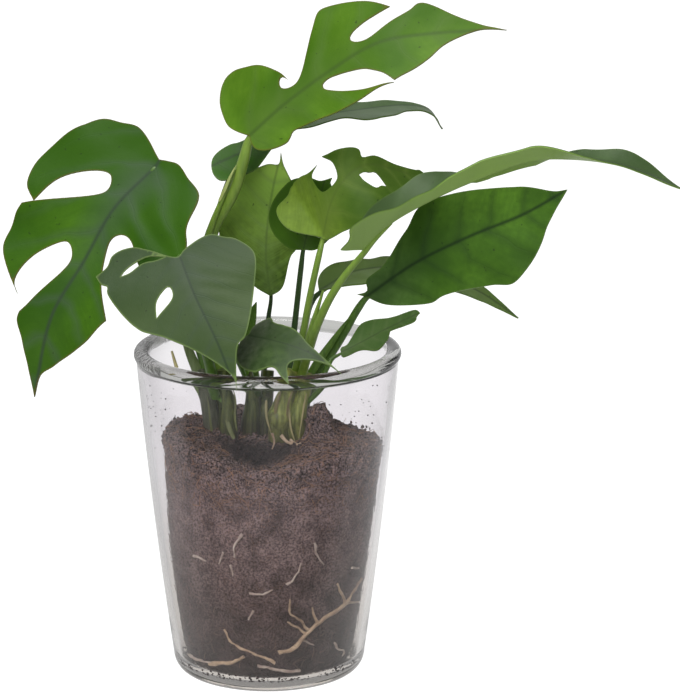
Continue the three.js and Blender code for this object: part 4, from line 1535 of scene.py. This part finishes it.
GROWN["leaf_long"] = dict(
    rib=[
        (42, -32, 201), (52, -34, 212), (69, -36, 223), (92, -38, 234), (114, -39, 242),
        (133, -41, 243), (156, -44, 240), (178, -46, 231),
    ],
    faces=[
        (-0.3, -0.3, 0.9), (-0.3, -0.3, 0.9), (-0.2, 0.15, 0.95), (0, 0.62, 0.78), (0, 0.55, 0.83),
        (0.1, -0.15, 0.97), (0.2, -0.3, 0.93), (0.3, -0.3, 0.9),
    ],
    folds=[60, 60, 45, 15, 12, 30, 30, 15], cup=0, straight=0.3,
    edge=[
        (0, 3, 1), (-5, 15, 1), (2, 17), (6, 21), (24, 12), (38, 8), (58, 10), (81, 9), (92, 12),
        (108, 11), (118, 8), (152, 0, 1), (128, -9), (108, -7), (72, -8), (66, -6), (60, -8, 1),
        (51, -17), (24, -13), (4, -9),
    ],
    stalk_radius=2.2,
    stalk=[(14, -2, 131), (18, -14, 149), (24, -24, 169), (32, -29, 185)],
    sheath=(2.4, 0.5),
    sheath_path=[(17, -13, 148), (20, -20, 163), (25, -26, 181)],
)

GROWN["leaf_right"] = dict(
    rib=[(44, 6, 171), (66, 4, 187), (90, 0, 200), (114, -4, 211), (133, -8, 223)],
    faces=[(0.1, -0.86, 0.5)],
    folds=[8], cup=0.002,
    edge=[
        (0, 0, 1), (-3, -3, 1), (2, -2), (4, -6), (14, -7), (30, -15), (41, -22), (85, -12),
        (99, -2), (104, 0, 1), (90, 9), (79, 20), (66, 28), (56, 25), (33, 20), (26, 20), (7, 9),
    ],
    stalk_radius=2.2,
    stalk=[(15, -1, 127), (26, 2, 142), (34, 5, 154), (41, 7, 166)],
)

GROWN["leaf_arching"] = dict(
    rib=[(23, 15, 172), (40, 24, 179), (69, 31, 178), (94, 29, 169), (115, 24, 156)],
    faces=[(-0.25, -0.35, 0.9), (0, -0.3, 0.95), (0.2, -0.35, 0.92), (0.5, -0.45, 0.75)],
    folds=[8, 8, 8, 6], cup=0.001,
    edge=[
        (0, 0, 1), (2, -7), (7, -11), (26, -8), (55, -10), (101, 0, 1), (49, 15), (28, 14),
        (18, 13),
    ],
    stalk_radius=1.8,
    stalk=[(11, 2, 124), (14, 14, 144), (17, 16, 158), (20, 16, 167)],
)

GROWN["leaf_rim"] = dict(
    rib=[(29, -8, 147), (40, -6, 152), (52, -8, 159), (68, -12, 168)],
    faces=[(-0.25, -0.7, 0.65)],
    folds=[14], cup=0.002,
    edge=[
        (4, 1, 1), (5, -2), (8, -2), (18, -8), (32, -4), (44, -2), (45, 0, 1), (43, 1), (42, 3),
        (29, 2, 1), (27, 6, 1), (21, 9), (13, 4), (4, 3),
    ],
    stalk_radius=1.6,
    stalk=[(16, -4, 123), (24, -8, 136), (27, -9, 143)],
)

GROWN["leaf_small"] = dict(
    rib=[(-11, 2, 150), (-8, 1, 160), (-5, 0, 170)],
    faces=[(-0.6, -0.7, 0.3)],
    folds=[20], cup=0.002,
    edge=[(0, 0, 1), (5, -4), (12, -4), (21, 0, 1), (12, 4), (5, 4)],
    stalk_radius=1.5,
    stalk=[(-5, 8, 128), (-10, 4, 140)],
)

GROWN["leaf_front"] = dict(
    rib=[(-7, -34, 163), (5, -45, 163), (19, -53, 160), (33, -59, 152)],
    faces=[(-0.05, -0.72, 0.7)],
    folds=[6], cup=0.004,
    edge=[
        (-1, -1, 1), (-1, -5), (5, -11), (8, -9), (21, -8), (32, -3), (50, 0, 1), (43, 0), (29, 7),
        (28, 10), (34, 18, 1), (28, 16), (22, 13), (16, 18, 1), (11, 18), (3, 14), (-2, 5),
    ],
    stalk_radius=1.7,
    stalk=[(-4, 8, 127), (-5, -12, 140), (-7, -28, 157)],
)

# %% [markdown]
# ## Stalks
# A stalk is a rod that leaves its stem, rises to the leaf and runs on under the blade
# until the midrib takes over. On two leaves the rest of a bud lies along it, as a
# second, pointed rod.

# %% A stalk
STALK_END_SHARE = 0.12
RIB_DEPTH = 0.5


def stalk_of(shape, blade):
    radius = shape["stalk_radius"]
    count = len(shape["stalk"])
    radii = [radius * (1 - 0.3 * i / count) for i in range(count)]
    ends = np.array([0.6 * radius, 0.45 * radius, 0.5])
    shares = np.array([0.0, 0.05, STALK_END_SHARE])
    under = blade.bend(shares * blade.length, np.zeros(3), -ends - RIB_DEPTH)
    return rod_in_mm([*shape["stalk"], *under], [*radii, *ends], sides=5)


def sheath_of(shape):
    return rod_in_mm(shape["sheath_path"], shape["sheath"], sides=4)


# %% [markdown]
# A sheath is what is left of the bud that a leaf came out of: a thin pointed wing that
# clasps the stalk. It is cut and bent like a leaf, only narrow and folded round the
# stalk. Old ones are papery, and some have shrunk to scraps at the foot of a stem.

# %% Sheaths and scraps
SHEATHS = [
    # half width, fold, finish, path
    (3.6, -50, "grey", [(-27, -5, 124), (-31, -5, 138), (-36, -3, 151), (-40, 0, 166)]),
    (2.6, -50, "green", [(-20, -8, 126), (-24, -6, 140), (-28, -3, 154)]),
    (0.7, -50, "moss",
     [(-13.6, -8.4, 112), (-14.6, -9.6, 120), (-14.2, -9.4, 128), (-15.6, -7.6, 139)]),
    (1.5, -50, "moss", [(-18.5, -9.2, 119), (-16, -10.4, 112), (-12.6, -11, 106)]),
    (1.1, -60, "pale", [(-0.6, -8.8, 129), (-0.4, -10.2, 120), (1.6, -10.6, 112)]),
    (0.9, -60, "pale", [(9.6, -9.6, 124), (10.4, -10.6, 115), (12.8, -11, 107)]),
    (0.6, -50, "pale", [(17.4, -8.4, 133), (15.6, -9.8, 121), (13.6, -10.6, 108)]),
    (0.8, -50, "dry", [(8.4, -9.8, 118), (9.4, -10.2, 127), (12, -8.6, 139)]),
    (1.8, -60, "dry", [(3.4, -10.6, 121), (4.2, -11.4, 128), (6.4, -11, 137)]),
    (0.7, -50, "moss", [(-24.4, -8.2, 108), (-25.6, -8.6, 118), (-27, -7.2, 131)]),
    (0.9, -40, "cream",
     [(-21.4, -3.4, 216), (-18.6, -4.8, 222), (-15.6, -6.2, 229), (-13, -7, 234)]),
    (2.8, -50, "green", [(15, -7, 130), (21, -4, 141), (29, 0, 152), (37, 3, 163)]),
    (2.2, -50, "green", [(19, -2, 132), (27, 3, 146), (35, 8, 158)]),
]
sheath_finishes = {
    "grey": stalk_finish("grey sheath", rgb(122, 138, 92), rgb(74, 92, 48)),
    "green": stalk_finish("green sheath", rgb(96, 130, 44), rgb(52, 84, 24)),
    "pale": stalk_finish("pale sheath", rgb(170, 160, 112), rgb(120, 112, 66)),
    "cream": stalk_finish("cream sheath", rgb(196, 206, 132), rgb(150, 168, 86)),
    "dry": stalk_finish("dry sheath", rgb(138, 126, 84), rgb(92, 84, 46)),
    "moss": stalk_finish("moss-green sheath", rgb(116, 122, 76), rgb(74, 80, 40)),
}


def sheath_shape(half, fold, path):
    length = sum(math.dist(a, b) for a, b in zip(path, path[1:]))
    side = [(0.02, 0.5), (0.12, 0.85), (0.35, 1.0), (0.62, 0.8), (0.85, 0.4)]
    edge = [(share * length, -half * width) for share, width in side] + [(length, 0, 1)]
    edge += [(share * length, half * width) for share, width in reversed(side)]
    return dict(rib=path, faces=[(0, -0.95, 0.3)], folds=[fold], cup=0, edge=edge)


sheaths = []
for half, fold, look, path in SHEATHS:
    sheath, _ = bent_blade(sheath_shape(half, fold, path))
    face_outwards(sheath)
    smooth(sheath, 50)
    sheath.data.materials.append(sheath_finishes[look])
    sheaths.append(sheath)
declare(join(sheaths), "leaf_sheaths", "stem")
print("sheaths", len(SHEATHS))

# %% Root tips on the peat
TIPS = [
    (0.9, [(6, -12, 112), (9, -13, 109), (12, -13, 108)]),
    (0.7, [(10, -12, 110), (13, -13, 108), (15, -14, 109)]),
    (0.6, [(2, -12, 113), (3, -13, 109), (2, -14, 106)]),
]
tips = join([rod_in_mm(path, (radius, radius * 0.5)) for radius, path in TIPS])
smooth(tips, 70)
finish_piece(tips, "root_tips", "root", tan_root)

# %% A dry straw in the glass's mouth
STRAW = [(-43, 0, 147.5), (-42, -0.6, 144), (-40.8, -1.3, 140)]
straw = rod_in_mm(STRAW, (0.5, 0.9))
smooth(straw, 70)
straw_finish = stalk_finish("dry straw", rgb(216, 206, 162), rgb(176, 162, 106))
finish_piece(straw, "dry_straw", "stem", straw_finish)

# %% [markdown]
# ## Growing the leaves
# Each leaf is cut and bent in its own finish, and its stalk is joined to it, because a
# leaf comes off the plant with its stalk. The slot says what kind of green it is.

# %% Growing every leaf
LEAF_SLOTS = {
    # slot of the leaf, finish of its stalk
    "leaf_left": ("leaf_dark", stalk_green),
    "leaf_front_left": ("leaf_grey", stalk_green),
    "leaf_top": ("leaf_bright", stalk_pale),
    "leaf_top_behind": ("leaf_dark", stalk_green),
    "leaf_back": ("leaf_mid", stalk_dark),
    "leaf_round": ("leaf_dark", stalk_dark),
    "leaf_young": ("leaf_bright", stalk_pale),
    "leaf_long": ("leaf_mid", stalk_pale),
    "leaf_right": ("leaf_dark", stalk_green),
    "leaf_arching": ("leaf_mid", stalk_dark),
    "leaf_rim": ("leaf_grey", stalk_green),
    "leaf_small": ("leaf_mid", stalk_green),
    "leaf_front": ("leaf_grey", stalk_green),
}


def grow(name, shape):
    slot, stalk_look = LEAF_SLOTS[name]
    piece, blade = bent_blade(shape)
    face_outwards(piece)
    smooth(piece, 50)
    piece.data.materials.append(leaf_finish(name.replace("_", " "), **LEAF_LOOKS[name]))
    rods = [stalk_of(shape, blade)]
    if "sheath" in shape:
        rods.append(sheath_of(shape))
    for made in rods:
        smooth(made, 70)
        made.data.materials.append(stalk_look)
    whole = join([piece, *rods])
    declare(whole, name.replace("leaf_", "monstera_leaf_"), slot, name)
    print("its midrib is", round(blade.length), "mm long")


for name, shape in GROWN.items():
    grow(name, shape)

# %% [markdown]
# ## Sizes and the end
# The finished model has to fill the same box as the solids it replaces.

# %% The end: clearing the selection
deselect()
